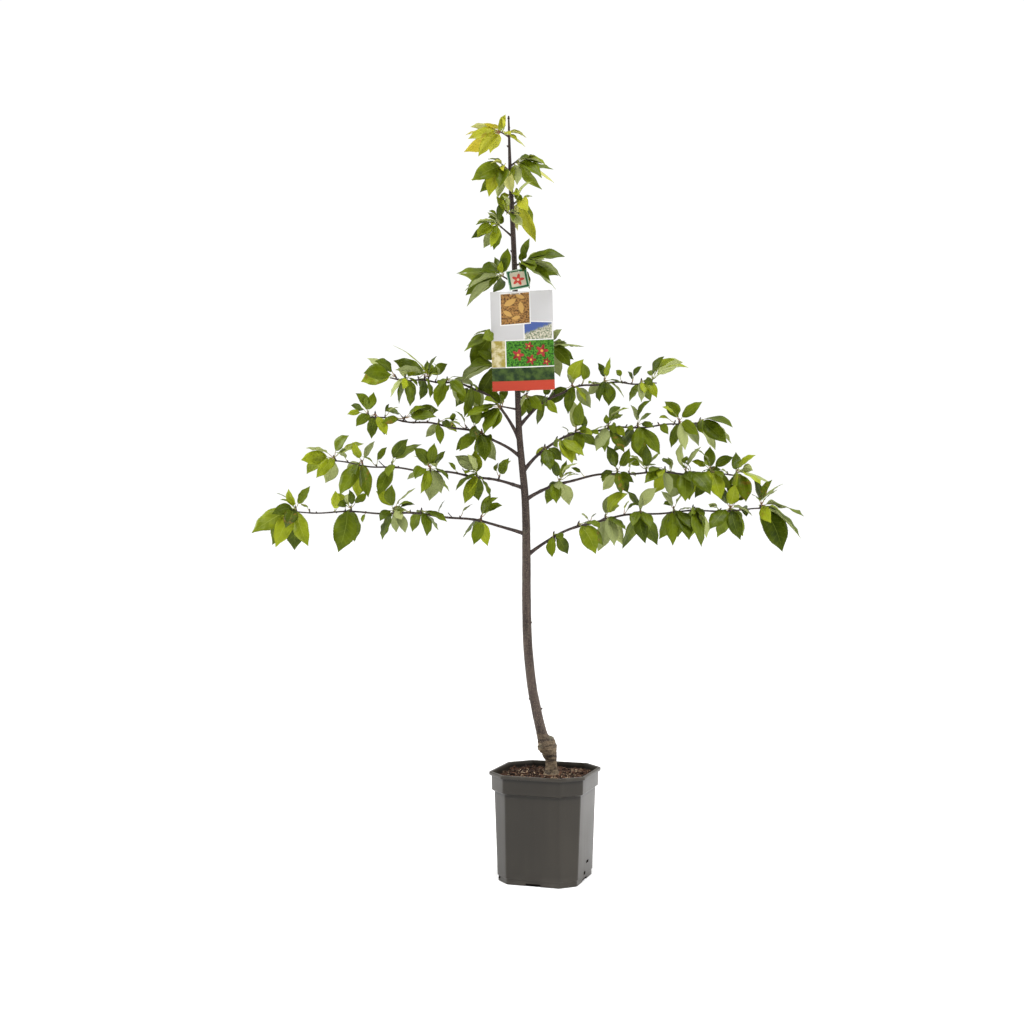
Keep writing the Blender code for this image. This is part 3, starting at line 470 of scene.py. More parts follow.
def graftReach(way, middle, radius):
    # how far the bark stands from the trunk's middle that way, the graft's swellings melted in
    soft = trunk["graftSoft"]
    low, high = radius, radius + 0.03
    for step in range(14):
        reach = (low + high) / 2
        spot = middle + way * reach
        full = exp((radius - reach) / soft)
        for *lump, size in trunk["knobs"] + trunk["swells"]:
            full += exp((size - (spot - Vector(lump)).length) / soft)
        low, high = (reach, high) if full > 1 else (low, reach)
    return reach


def grain(spot, across, along):
    return noise.noise(Vector((spot.x * across, spot.y * across, spot.z * along)))


def makeTrunk():
    low, high = trunk["stations"][0][0], trunk["crown"]
    heights = [low]
    while heights[-1] < high - trunk["ringEvery"]:
        heights.append(heights[-1] + trunk["graftEvery" if heights[-1] < trunk["graftTop"] else "ringEvery"])
    points, radii = zip(*(trunkAt(height) for height in heights + [high]))

    def relief(turn, step, way):
        middle, radius = points[step], radii[step]
        spot = middle + way * radius
        grafted = trunk["graftFoot"] < middle.z < trunk["graftTop"]
        joint = graftReach(way, middle, radius) / radius - 1 if grafted else 0.0
        joint += 0.09 * noise.noise(spot * 210) * min(1.0, joint * 4)
        old = exp(-max(0.0, middle.z - 0.325) / 0.03)
        flare = trunk["flare"] * exp(-(middle.z - low) / 0.012) * (1 + 0.8 * sin(3 * turn + 1))
        rough = trunk["rough"] * grain(spot, 60, 38) * (0.6 + old)
        crack = trunk["crack"] * old * abs(grain(spot, 75, 300))
        return 1 + flare + rough + trunk["fine"] * grain(spot, 190, 330) - crack + joint

    heap = newHeap()
    pour(heap, growLimb(points, radii, trunk["around"], relief, (1, 0, 0)))
    for height, turn, length in trunk["stubs"]:
        middle, radius = trunkAt(height)
        way = Vector((cos(radians(turn)), sin(radians(turn)), 0.7)).normalized()
        reach = [middle + way * length * t for t in (0.0, 0.45, 0.62, 0.8, 0.93, 1.0)]
        pour(heap, growLimb(reach, [radius * 0.62, radius * 0.42, radius * 0.3, 0.0022, 0.0023, 0.0015], 12))
    for height, turn in trunk["buds"]:
        middle, radius = trunkAt(height)
        out = Vector((cos(radians(turn)), sin(radians(turn)), 0))
        growBud(heap, middle + out * radius * 0.8, out * 0.62 + Vector((0, 0, 0.78)), 0.0065, 0.0021)
    growBud(heap, points[-1] - Vector((0, 0, 0.0085)), Vector((0, 0, 1)), 0.0085, 0.003)
    addPiece("trunkBark", heap, [barkFinish("trunkBarkFinish", 0.07, 1.55)], "bark", ["trunk"])


def growBud(heap, base, way, length, radius):
    # a small pointed bud with the step of its scales
    steps = (0.0, 0.12, 0.3, 0.45, 0.5, 0.68, 0.86, 1.0)
    wide = (0.55, 0.85, 1.0, 0.98, 0.86, 0.72, 0.4, 0.06)
    pour(heap, growLimb([base + way.normalized() * length * t for t in steps], [radius * w for w in wide]))


barkTones = dict(
    stock=(0.205, 0.15, 0.09), stockDark=(0.03, 0.019, 0.011), scion=(0.07, 0.05, 0.041),
    scionDark=(0.026, 0.017, 0.014), leader=(0.04, 0.024, 0.021), shoot=(0.022, 0.013, 0.011),
    lenticel=(0.27, 0.2, 0.135), lichen=(0.15, 0.155, 0.105), poreWide=0.019, poreHigh=0.008)


def barkFinish(name, girth, length, young=False):
    # bark whose pores run across the limb, from its own UV map: girth and length are in metres
    finish = Finish(name, {"Specular IOR Level": 0.35})
    u, v = finish.skin()
    height = finish.spot().parts()[2]
    flat = finish.node("CombineXYZ", {
        "X": u * (girth / barkTones["poreWide"]), "Y": v * (length / barkTones["poreHigh"])})
    cells = {"voronoi_dimensions": "2D"}
    cell = finish.node("TexVoronoi", {"Vector": flat}, cells)
    luck = finish.node("TexVoronoi", {"Vector": flat}, cells, 1).parts()[0]
    pore = (0.3 - cell).smooth(0, 0.08) * (luck > (0.66 if young else 0.62))
    streak, plates = finish.noise((90, 90, 14), 5.0, 0.6), finish.noise((120, 120, 170), 6.0, 0.65)
    blotch = finish.noise(26.0, 4.0, 0.6)
    if young:
        base = (streak * 0.6 + blotch * 0.4).smooth(0.35, 0.65).mixed(barkTones["shoot"], barkTones["leader"])
    else:
        # from the stock at the foot over the graft to the scion, and on to the leading shoot
        wobble = finish.noise(60.0, 2.0) - 0.5
        bands = finish.noise((26, 26, 150), 4.0, 0.6) * 0.7 + plates * 0.3
        stock = bands.smooth(0.4, 0.6).mixed(barkTones["stockDark"], barkTones["stock"])
        scion = streak.smooth(0.34, 0.62).mixed(barkTones["scionDark"], barkTones["scion"])
        base = (height + wobble * 0.03).smooth(0.3, 0.36).mixed(stock, scion)
        base = (blotch.smooth(0.56, 0.7) * 0.35).mixed(base, barkTones["lichen"])
        top = streak.smooth(0.3, 0.7).mixed(barkTones["shoot"], barkTones["leader"])
        base = (height + wobble * 0.1).smooth(0.62, 1.25).mixed(base, top)
    finish.feed("Base Color", (pore * 0.62).mixed(base, barkTones["lenticel"]))
    finish.feed("Roughness", (0.52 if young else 0.66) + 0.2 * plates)
    finish.relief(plates * 0.7 + streak * 0.3 + pore * 0.8, 0.5 if young else 0.75, 0.0012)
    return finish


makeCompost()
makeTrunk()
makeChips()
print("compost, chips and trunk built")

# Boughs and the masses on the leading shoot: the numbers of the part's own growth. A fan on a bough is
# its share along the bough, leaves, first and last angle and millimetres of blade; a mass has no share.
boughs = named("root rise power lift tip bare seed fans", (
    ("left_1", 0.806, 0.0525, 4.0, 0.0, -0.6, 0.165, 11,
     ((0.19, 3, 215, 300, 52), (0.2, 2, 35, 75, 50), (0.448, 4, 232, 352, 62), (0.56, 3, 240, 290, 60),
      (0.565, 3, 10, 165, 52), (0.741, 2, 258, 282, 88), (0.75, 3, 10, 175, 40), (0.975, 5, 198, 305, 94),
      (0.99, 3, 30, 175, 44))),
    ("left_2", 0.915, 0.04, 4.0, 0.025, -0.505, 0.115, 12,
     ((0.135, 2, 35, 75, 46), (0.245, 5, 212, 300, 56), (0.26, 3, 80, 150, 52), (0.487, 4, 235, 320, 62),
      (0.5, 4, 30, 150, 44), (0.68, 2, 238, 268, 64), (0.69, 2, 20, 62, 62), (0.836, 3, 232, 290, 72),
      (0.845, 2, 40, 140, 40), (0.975, 4, 182, 255, 64), (0.985, 2, 5, 60, 56))),
    ("left_3", 0.987, 0.078, 4.0, 0.022, -0.4265, 0.215, 13,
     ((0.248, 5, 205, 305, 60), (0.3, 2, 40, 130, 40), (0.5255, 3, 205, 340, 42), (0.753, 2, -8, 24, 62),
      (0.76, 2, 150, 210, 40), (0.927, 3, 200, 320, 46), (0.97, 3, 60, 185, 40))),
    ("left_4", 1.026, 0.139, 5.0, 0.007, -0.361, 0.33, 14,
     ((0.376, 3, 215, 300, 60), (0.576, 4, 245, 355, 54), (0.72, 3, 10, 120, 46), (0.7356, 2, 136, 160, 84),
      (0.745, 2, 240, 290, 46), (0.895, 4, 235, 300, 55), (0.96, 3, 150, 200, 66))),
    ("right_1", 0.755, 0.103, 4.6, 0.008, 0.512, 0.095, 21,
     ((0.115, 3, 240, 310, 48), (0.215, 2, 292, 325, 74), (0.332, 3, 250, 315, 78), (0.34, 2, 30, 72, 62),
      (0.482, 3, 246, 304, 80), (0.49, 2, 10, 165, 50), (0.624, 4, 245, 298, 76), (0.63, 2, 10, 160, 50),
      (0.704, 3, 262, 302, 84), (0.86, 4, 215, 318, 76), (0.87, 3, 10, 150, 50), (0.985, 5, 284, 336, 104),
      (0.99, 3, 10, 120, 54))),
    ("right_2", 0.887, 0.067, 5.0, -0.01, 0.465, 0.135, 22,
     ((0.156, 3, 240, 300, 56), (0.165, 3, 20, 120, 46), (0.424, 3, 220, 320, 54), (0.43, 2, 45, 130, 46),
      (0.557, 3, 20, 160, 50), (0.6424, 4, 205, 320, 54), (0.737, 4, 222, 328, 74), (0.745, 2, 40, 110, 52),
      (0.8515, 3, 235, 325, 62), (0.86, 3, 5, 165, 48), (0.965, 5, 262, 345, 70), (0.98, 2, 15, 100, 46))),
    ("right_3", 0.952, 0.103, 6.0, 0.016, 0.372, 0.1, 23,
     ((0.118, 3, 250, 330, 52), (0.18, 3, 285, 335, 62), (0.2927, 3, 230, 330, 50), (0.3, 2, 70, 112, 66),
      (0.4757, 4, 215, 305, 60), (0.48, 2, 20, 62, 56), (0.6358, 4, 225, 318, 70), (0.645, 2, 20, 150, 50),
      (0.8645, 3, 250, 312, 62), (0.87, 2, 0, 175, 54), (0.975, 4, 292, 345, 78))),
    ("right_4", 1.059, 0.105, 4.0, -0.003, 0.258, 0.16, 24,
     ((0.189, 2, 230, 330, 48), (0.2, 2, 35, 105, 46), (0.393, 3, 205, 325, 64), (0.4, 2, 50, 90, 52),
      (0.629, 4, 215, 325, 50), (0.64, 2, 60, 130, 42), (0.9, 4, 238, 320, 52), (0.97, 3, 5, 50, 66)))))
leaderMasses = named("height angle toward stem seed fans", (
    ("collar_left", 1.1, 170, 10, 0.04, 31, ((4, 178, 245, 70), (2, 95, 150, 48))),
    ("collar_right", 1.123, 35, -20, 0.022, 32, ((3, 265, 345, 48), (2, 40, 110, 44))),
    ("card_foot", 1.19, 160, -14, 0.046, 44, ((3, 205, 242, 76), (1, 120, 160, 44))),
    ("card_right", 1.237, 12, -14, 0.075, 33, ((4, 275, 360, 62), (1, 30, 60, 46))),
    ("card_left", 1.271, 168, -12, 0.05, 34, ((4, 205, 250, 76), (1, 120, 150, 50))),
    ("middle_left", 1.397, 150, 0, 0.034, 35, ((5, 176, 222, 86), (2, 60, 140, 50))),
    ("middle_right", 1.438, 20, 5, 0.018, 36, ((4, 312, 362, 88), (1, 64, 80, 46), (1, 300, 308, 58))),
    ("upper_left", 1.505, 140, 5, 0.044, 37, ((5, 198, 268, 54), (2, 80, 150, 40))),
    ("front", 1.556, 152, 42, 0.018, 38, ((1, 110, 140, 40), (1, 302, 310, 54))),
    ("upper_right", 1.58, 40, 5, 0.016, 39, ((1, 284, 296, 92), (1, 20, 60, 40))),
    ("back", 1.605, 80, -70, 0.014, 40, ((3, 225, 320, 62),)),
    ("crown_right", 1.672, 40, -8, 0.018, 41, ((5, 308, 352, 76), (1, 255, 290, 52))),
    ("crown_left", 1.66, 140, 8, 0.018, 42, ((5, 196, 256, 68), (1, 265, 285, 50))),
    ("top", 1.742, 150, 0, 0.024, 43, ((4, 182, 230, 76), (2, 60, 120, 34), (2, 320, 350, 46)))))
growth = dict(
    widthShare=0.54, petiole=0.017, spurLength=0.012, spurRadius=0.0022, sameSpur=0.02, boughRadius=0.0034,
    twigRadius=0.0016, tries=16, rootSink=0.002, fanStep=0.004, stemRadii=(0.0026, 0.0017), tipMatch=0.0012,
    rings=120, knots=7, buds=9, sideShoots=9, sideRoom=0.018, sideKey=100)


def heading(angle, toward):
    # the way at an angle in the tree's plane, turned towards the viewer; both in degrees
    flat = cos(radians(toward))
    return Vector((cos(radians(angle)) * flat, -sin(radians(toward)), sin(radians(angle)) * flat))


def boughSpot(bough, share):
    start = trunkAt(bough["root"])[0].x
    height = bough["root"] + bough["rise"] * (1 - (1 - share) ** bough["power"]) + bough["lift"] * share ** 3
    height += 0.0022 * sin(23.0 * share + 2 * bough["seed"]) * min(1.0, 4 * share)
    sway = sin(9.0 * share + bough["seed"]) * share
    return Vector((start + (bough["tip"] - start) * share, 0.006 * sway, height))


def boughRadius(share):
    collar = 0.0024 * exp(-share * 22)
    return growth["boughRadius"] + (growth["twigRadius"] - growth["boughRadius"]) * share ** 0.8 + collar


def leafFrame(rng, spur, angle, toward):
    # where one leaf's stalk starts, and its blade's way, upper side, bend and size
    way = heading(angle, toward)
    level = sqrt(max(0.0, 1 - way.z ** 2))
    up = Vector((0, 0, 1)) - way * way.z
    outward = Vector((0, -1 if toward > 0 else 1, 0))
    outward -= way * way.dot(outward)
    normal = (up * level + outward * (1.6 - level)).normalized()
    normal = Matrix.Rotation(rng.uniform(-0.45, 0.45), 3, way) @ normal
    bend = rng.uniform(0.35, 0.95) * (0.45 + 0.55 * level) + 0.5 * max(0.0, way.z)
    blade = spur["blade"] * rng.uniform(0.95, 1.25)
    petiole = growth["petiole"] * rng.uniform(0.7, 1.25)
    lift = 0.35 + 0.6 * (1 - level)
    stalkWay = (way * cos(lift) + normal * sin(lift)).normalized()
    beside = stalkWay - spur["lean"] * stalkWay.dot(spur["lean"])
    start = spur["tip"] - spur["lean"] * growth["rootSink"] + beside * 0.0006
    return dict(start=start, base=start + stalkWay * petiole, way=way, normal=normal,
                across=way.cross(normal), bend=bend, length=blade, rng=rng,
                width=blade * growth["widthShare"] * rng.uniform(0.86, 1.14))


def leafPoint(leaf, share):
    # point on the blade's middle line, and the upward direction there
    bend, length = leaf["bend"], leaf["length"]
    turn = bend * share - bend / 2
    ahead = (sin(turn) + sin(bend / 2)) / bend * length
    drop = (cos(turn) - cos(bend / 2)) / bend * length
    spot = leaf["base"] + leaf["way"] * ahead + leaf["normal"] * drop
    return spot, leaf["normal"] * cos(turn) + leaf["way"] * sin(turn)


def growLeaves(mass, spur, tips):
    # the seeded leaves of one spur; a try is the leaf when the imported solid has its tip
    low, high = spur["fan"]
    for number in range(spur["count"]):
        share = (number + 0.5) / spur["count"]
        side = 1 if (number + spur["key"]) % 2 else -1
        for attempt in range(growth["tries"]):
            rng = random.Random(mass["seed"] * 100000 + spur["key"] * 1000 + number * 50 + attempt)
            angle = low + (high - low) * share + rng.uniform(-7, 7) * (1 + attempt / 5)
            leaf = leafFrame(rng, spur, angle, side * rng.uniform(12, 34 + 3 * attempt))
            if tips.find(leafPoint(leaf, 1.0)[0])[2] < growth["tipMatch"]:
                leaf["number"] = number
                yield leaf
                break


def tierSpurs(bough):
    # the short shoots along a bough's outer stretch, each with the fans that stand on it
    spurs, spurShare = [], -1.0
    for key, (share, count, low, high, blade) in enumerate(bough["fans"]):
        if share - spurShare > growth["sameSpur"]:
            spurShare = share
            base = boughSpot(bough, share)
            middle = radians((low + high) / 2)
            lean = Vector((cos(middle) * 0.4, 0.4 * (-1) ** key, 0.8)).normalized()
        spurs.append(dict(key=key, base=base, tip=base + lean * growth["spurLength"], lean=lean, count=count,
                          fan=(low, high), blade=blade / 1000, share=share))
    return spurs


def sideShoots(bough, spurs):
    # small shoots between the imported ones, each with a few small leaves
    rng = random.Random(bough["seed"] + 500)
    number, bare = growth["sideShoots"], bough["bare"]
    for k in range(number):
        share = bare + (0.985 - bare) * (k + rng.uniform(0.15, 0.85)) / number
        if min(abs(share - spur["share"]) for spur in spurs) < growth["sideRoom"]:
            continue
        base = boughSpot(bough, share)
        lean = Vector((rng.uniform(-0.5, 0.5), rng.choice((-1, 1)) * rng.uniform(0.3, 1.0),
                       rng.uniform(0.1, 0.9))).normalized()
        middle = rng.choice((90, 90, 265, 20, 160)) + rng.uniform(-15, 15)
        yield dict(key=growth["sideKey"] + k, base=base, tip=base + lean * 0.007, lean=lean,
                   count=rng.choice((2, 3)), fan=(middle - 55, middle + 55), blade=rng.uniform(0.034, 0.052))


def growSpur(heap, spur, radius, rng):
    # a short ringed shoot with a bud at its end
    base, tip = spur["base"], spur["tip"]
    steps = evenly(12)
    wide = [radius * (1.12 - 0.22 * t + 0.13 * cos(tau * 4 * t)) for t in steps]
    pour(heap, growLimb([base.lerp(tip, t) for t in steps], wide))
    way = (tip - base).normalized()
    twist = Vector((rng.uniform(-0.3, 0.3), rng.uniform(-0.3, 0.3), 0.2))
    growBud(heap, tip - way * 0.001, way + twist, 0.0058, 0.0017)


def growTier(bough, woods):
    # one bough as a single limb from inside the trunk to its tip, swollen where its shoots stand
    rng = random.Random(bough["seed"])
    shares = evenly(growth["rings"])
    points = [boughSpot(bough, share) for share in shares]
    knots = [rng.uniform(0.05, 0.98) for k in range(growth["knots"])] + [fan[0] for fan in bough["fans"]]
    knots.sort()

    def relief(turn, step, way):
        share, spot = shares[step], points[step]
        swell = sum(0.2 * exp(-((share - knot) / 0.0065) ** 2) for knot in knots)
        rough = noise.noise(Vector((spot.x * 90 + cos(turn), spot.z * 90 + sin(turn), turn)))
        return 1 + min(swell, 0.28) + 0.07 * rough

    pour(woods, growLimb(points, [boughRadius(share) for share in shares], 12, relief, (0, 1, 0)))
    growBud(woods, points[-1], points[-1] - boughSpot(bough, 0.97), 0.006, 0.0017)
    for k in range(growth["buds"]):
        # buds along the bough, and here and there a thin bare twiglet
        share = (k + rng.uniform(0.2, 0.9)) / growth["buds"] * 0.9 + 0.06
        base = boughSpot(bough, share)
        ahead = (boughSpot(bough, share + 0.01) - base).normalized()
        out = Vector((0, rng.choice((-1, 1)) * rng.uniform(0.3, 0.9), rng.uniform(-0.6, 0.9))).normalized()
        way = (ahead * 0.8 + out).normalized()
        if k % 4 == 2:
            length = rng.uniform(0.014, 0.024)
            twig = [base + way * length * t + Vector((0, 0, 0.12 * length * t * t))
                    for t in (0, 0.3, 0.6, 0.8, 1)]
            pour(woods, growLimb(twig, [0.0014, 0.0012, 0.0011, 0.0012, 0.0009], 7))
            growBud(woods, twig[-1], twig[-1] - twig[-2], 0.004, 0.0013)
        else:
            growBud(woods, base + out * boughRadius(share) * 0.6, way, 0.0052, 0.0016)
    spurs, done = tierSpurs(bough), []
    for spur in spurs:
        if spur["tip"] not in done:
            done.append(spur["tip"])
            growSpur(woods, spur, growth["spurRadius"], rng)
    side = list(sideShoots(bough, spurs))
    for spur in side:
        growSpur(woods, spur, growth["spurRadius"] * 0.75, rng)
    return spurs + side


def growStem(mass, woods):
    # a young shoot from the trunk's side to its fans of leaves
    rng = random.Random(mass["seed"])
    root, outside = trunkAt(mass["height"])
    way = heading(mass["angle"], mass["toward"])
    end = root + way * (outside + mass["stem"])
    wide, thin = growth["stemRadii"]
    steps = evenly(16)
    radii = [wide + (thin - wide) * t + 0.0012 * exp(-t * 9) for t in steps]

    def relief(turn, step, way):
        return 1 + 0.1 * cos(tau * steps[step] * 4) * (steps[step] > 0.5)

    pour(woods, growLimb([root.lerp(end, t) for t in steps], radii, 10, relief))
    twist = Vector((rng.uniform(-0.2, 0.2), rng.uniform(-0.2, 0.2), 0.3))
    growBud(woods, end - way * 0.001, way + twist, 0.0055, 0.0017)
    return [dict(key=key, tip=end - way * (growth["rootSink"] + growth["fanStep"] * key), lean=way,
                 count=count, fan=(low, high), blade=blade / 1000)
            for key, (count, low, high, blade) in enumerate(mass["fans"])]


# Leaves: shape of a blade, and how the sprays are coloured
cardCorners = [vertex.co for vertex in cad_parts["care_card"].data.vertices]
cardRoom = [Vector([edge(corner[axis] for corner in cardCorners) for axis in range(3)])
            for edge in (min, max)]
blades = dict(
    rows=32, columns=4, thickness=0.00045, fold=(0.08, 0.42), droop=0.22, ripple=(0.0006, 0.0018),
    teeth=0.028, sickle=0.06, roll=0.85, twist=0.6, slim=0.9, faceAway=0.07, turnedBack=0.74,
    narrowAbove=1.36, narrow=0.78, creased=0.22, ribRadius=0.00062, stalkRadius=0.00078, extraShare=0.5,
    leaderShare=1.4, extraSize=(0.52, 0.86), extraTries=10, shapeTries=12, freshShare=0.22)
tints = named("low high vein under", (
    ("deepLeaves", (0.022, 0.039, 0.0006), (0.138, 0.182, 0.003), (0.24, 0.3, 0.045), (0.25, 0.285, 0.105)),
    ("freshLeaves", (0.092, 0.128, 0.002), (0.31, 0.36, 0.012), (0.42, 0.46, 0.09), (0.35, 0.39, 0.14)),
    ("yellowLeaves", (0.25, 0.28, 0.008), (0.52, 0.5, 0.036), (0.6, 0.57, 0.16), (0.44, 0.44, 0.13)),
    ("goldLeaves", (0.4, 0.37, 0.015), (0.59, 0.48, 0.04), (0.66, 0.56, 0.14), (0.52, 0.47, 0.13))))
# kinds of the leaves on a spray, by mass and fan; the rest are deep with some fresh ones
sprays = {
    ("top", 0): "gold yellow", ("top", 1): "yellow fresh", ("top", 2): "yellow",
    ("crown_left", 0): "yellow fresh deep", ("crown_left", 1): "yellow",
    ("crown_right", 0): "fresh deep yellow", ("crown_right", 1): "fresh", ("upper_right", 0): "yellow",
    ("upper_right", 1): "fresh", ("back", 0): "fresh", ("front", 0): "fresh", ("left_2", 9): "fresh",
    ("upper_left", 0): "deep fresh", ("right_1", 11): "deep fresh", ("left_1", 7): "fresh deep",
    ("right_3", 10): "fresh deep", ("left_4", 3): "fresh deep"}
# masses in the shade of the middle, whose leaves are all deep
shadedMasses = ("collar_left", "collar_right", "card_foot", "card_left", "card_right")
# sprays whose leaves differ: rolled up lengthwise, or seen from below
oddSprays = {
    ("upper_right", 0): dict(slim=0.46, fold=0.95, roll=0.2, twist=0.5), ("front", 1): dict(under=True)}


def leafOutline(share):
    # half width over the greatest half width: rounded foot, broad middle, drawn-out tip
    body = max(0.0, sin(pi * share ** 0.9)) ** 0.84
    return body * (1 - 0.55 * max(0.0, (share - 0.74) / 0.26) ** 1.2)


def shapeBlade(leaf):
    # how one blade folds, curls and which of its sides is the upper one
    rng = leaf["rng"]
    turned = rng.random() < blades["turnedBack" if leaf["normal"].y > 0.05 else "faceAway"]
    leaf.update(
        fold=rng.uniform(*blades["fold"]), ripple=rng.uniform(*blades["ripple"]) * leaf["length"] / 0.085,
        sickle=rng.uniform(-1, 1) * blades["sickle"] * leaf["length"], waves=rng.uniform(2.0, 3.4),
        phase=rng.uniform(0, tau), roll=rng.uniform(-1, 1) * blades["roll"],
        twist=rng.uniform(-1, 1) * blades["twist"], face=-1 if turned else 1)
    if leaf["base"].z > blades["narrowAbove"]:
        leaf.update(slim=blades["narrow"], fold=leaf["fold"] + blades["creased"])
    return leaf


def bladePoint(leaf, share, side):
    # a point of the blade: side is -1 to 1 across it
    spot, up = leafPoint(leaf, share)
    turn = leaf["roll"] * min(1.0, 5 * share) + leaf["twist"] * (share - 0.4)
    across = leaf["across"] * cos(turn) + up * sin(turn)
    up = (up * cos(turn) - leaf["across"] * sin(turn)) * leaf["face"]
    half = leaf["width"] / 2 * leafOutline(share) * leaf.get("slim", blades["slim"])
    if abs(side) > 0.9 and round(share * blades["rows"]) % 2:
        half *= 1 - blades["teeth"]
    rise = abs(side) * half * leaf["fold"] - side * side * half * blades["droop"] * 0.5
    wave = sin(tau * leaf["waves"] * share + leaf["phase"] + (1.3 if side > 0 else 0))
    rise += leaf["ripple"] * side * side * wave * min(1.0, leafOutline(share) * 1.4)
    slide = leaf["sickle"] * sin(pi * share) * min(1.0, 4 * share)
    return spot + across * (side * half + slide) + up * rise, up


def bladeMesh(leaf):
    return wrapGrid(blades["columns"], blades["rows"],
                    lambda u, v: bladePoint(leaf, v, (2 * u - 1) * leaf["face"])[0])


def stalkMesh(leaf):
    # the petiole, which arches into the blade's foot and runs on under it as the midrib
    start, base = leaf["start"], leaf["base"]
    sag = Vector((0, 0, -0.1)) * (base - start).length
    points, radii = [], []
    for t in evenly(7)[:-1]:
        points.append(start.lerp(base, t) + sag * 4 * t * (1 - t))
        radii.append(blades["stalkRadius"] * (1.25 - 0.35 * t))
    for t in evenly(7):
        spot, up = bladePoint(leaf, 0.01 + 0.86 * t, 0.0)
        points.append(spot - up * (blades["thickness"] + 0.0001))
        radii.append(blades["ribRadius"] * (1 - 0.75 * t))
    return growLimb(points, radii, 6)


def leafFinish(name, look, under):
    finish = Finish(name + ("Under" if under else "Top"), {"Specular IOR Level": 0.13})
    u, v = finish.skin()
    tone = finish.tone()
    side = abs(u - 0.5) * 2
    midrib = (0.055 - side + v * -0.03).smooth(0, 0.035)
    # side veins leave the midrib forwards and curve up along the margin
    sweep = v * 8.6 - side * 1.7 + side * side * 0.4 + (u > 0.5) * 0.45 + finish.noise(22.0, 1.0) * 0.8
    vein = (abs(sweep % 1.0 - 0.5) * 2 - 0.82).smooth(0, 0.15) * (1 - side.smooth(0.6, 0.95))
    mottle = finish.noise(40.0, 1.4)
    if under:
        base = (tone[0] * 0.5 + mottle * 0.5).mixed([x * 0.82 for x in look["under"]], look["under"])
        base = (midrib * 0.6 + vein * 0.35).mixed(base, [min(1.0, x * 1.45) for x in look["under"]])
    else:
        blend = tone[0] * 0.62 + mottle.smooth(0.3, 0.7) * 0.3 + side * 0.1
        # a rusty patch on a few leaves
        patch = finish.noise(90.0).smooth(0.56, 0.64) * (tone[1] > 0.95)
        base = (patch * 0.5).mixed(blend.mixed(look["low"], look["high"]), (0.23, 0.11, 0.018))
        base = (midrib * 0.5 + vein * 0.16).mixed(base, look["vein"])
    finish.feed("Base Color", base)
    finish.feed("Roughness", 0.6 + 0.1 * mottle if under else 0.36 + 0.16 * mottle)
    return finish


def stalkFinish():
    # reddish along the stalk, pale green where it runs on under the blade
    finish = Finish("leafStalk", {"Roughness": 0.5, "Specular IOR Level": 0.25})
    red = finish.noise(34.0).smooth(0.38, 0.62) * (0.48 - finish.skin()[1]).smooth(0, 0.1)
    finish.feed("Base Color", red.mixed((0.28, 0.32, 0.09), (0.27, 0.12, 0.055)))
    return finish


def extraLeaves(mass, spur, grown):
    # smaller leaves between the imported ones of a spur; one that would cut through a leaf is left out
    low, high = spur["fan"]
    for number in range(ceil(spur["count"] * blades["leaderShare" if "stem" in mass else "extraShare"])):
        for attempt in range(blades["extraTries"]):
            rng = random.Random(mass["seed"] * 7919 + spur["key"] * 613 + number * 31 + attempt)
            angle = rng.uniform(low - 18, high + 18)
            toward = rng.choice((-1, 1, 1)) * rng.uniform(15, 62)
            small = dict(spur, blade=spur["blade"] * rng.uniform(*blades["extraSize"]))
            leaf = leafFrame(rng, small, angle, toward)
            if not hidesCard(leaf) and fits(shapeBlade(leaf), grown):
                leaf["number"] = number + 1
                yield leaf
                break


def hidesCard(leaf):
    # whether the leaf would stand before the card
    low, high = cardRoom
    return any(low.x < spot.x < high.x and low.z < spot.z < high.z and spot.y < high.y
               for spot in (leafPoint(leaf, share)[0] for share in (0.3, 0.65, 1)))


def fits(leaf, grown):
    # keeps the leaf's room when nothing else stands in it
    blade = bladeMesh(leaf)
    room = BVHTree.FromBMesh(blade)
    blade.free()
    middle, half = leafPoint(leaf, 0.5)[0], leaf["length"] / 2
    if any((place - middle).length < reach + half and room.overlap(other) for other, place, reach in grown):
        return False
    grown.append((room, middle, half))
    return True


def packedRoom(node):
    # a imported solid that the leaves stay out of, wherever they stand
    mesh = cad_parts[node].data
    room = BVHTree.FromPolygons([vertex.co for vertex in mesh.vertices],
                                [tuple(face.vertices) for face in mesh.polygons])
    return room, Vector((0, 0, 0.9)), 2.0


def packedTips(name):
    # the corners of a packed mass, where its leaves have their tips
    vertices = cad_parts["foliage_" + name].data.vertices
    tips = KDTree(len(vertices))
    for index, vertex in enumerate(vertices):
        tips.insert(vertex.co, index)
    tips.balance()
    return tips


def fitShape(leaf, odd, grown):
    # draws a packed leaf's shape again until it is clear of the others
    for attempt in range(blades["shapeTries"]):
        shapeBlade(leaf).update(odd)
        if "under" in leaf:
            leaf["face"] = 1 if leaf["normal"].y > 0 else -1
        if fits(leaf, grown):
            return True
    return False


def leafKind(name, key, leaf):
    # colour of a leaf by the spray that it stands on
    kinds = sprays.get((name, key), "").split()
    if kinds:
        return kinds[leaf["number"] % len(kinds)]
    return "fresh" if leaf["rng"].random() < blades["freshShare"] and name not in shadedMasses else "deep"


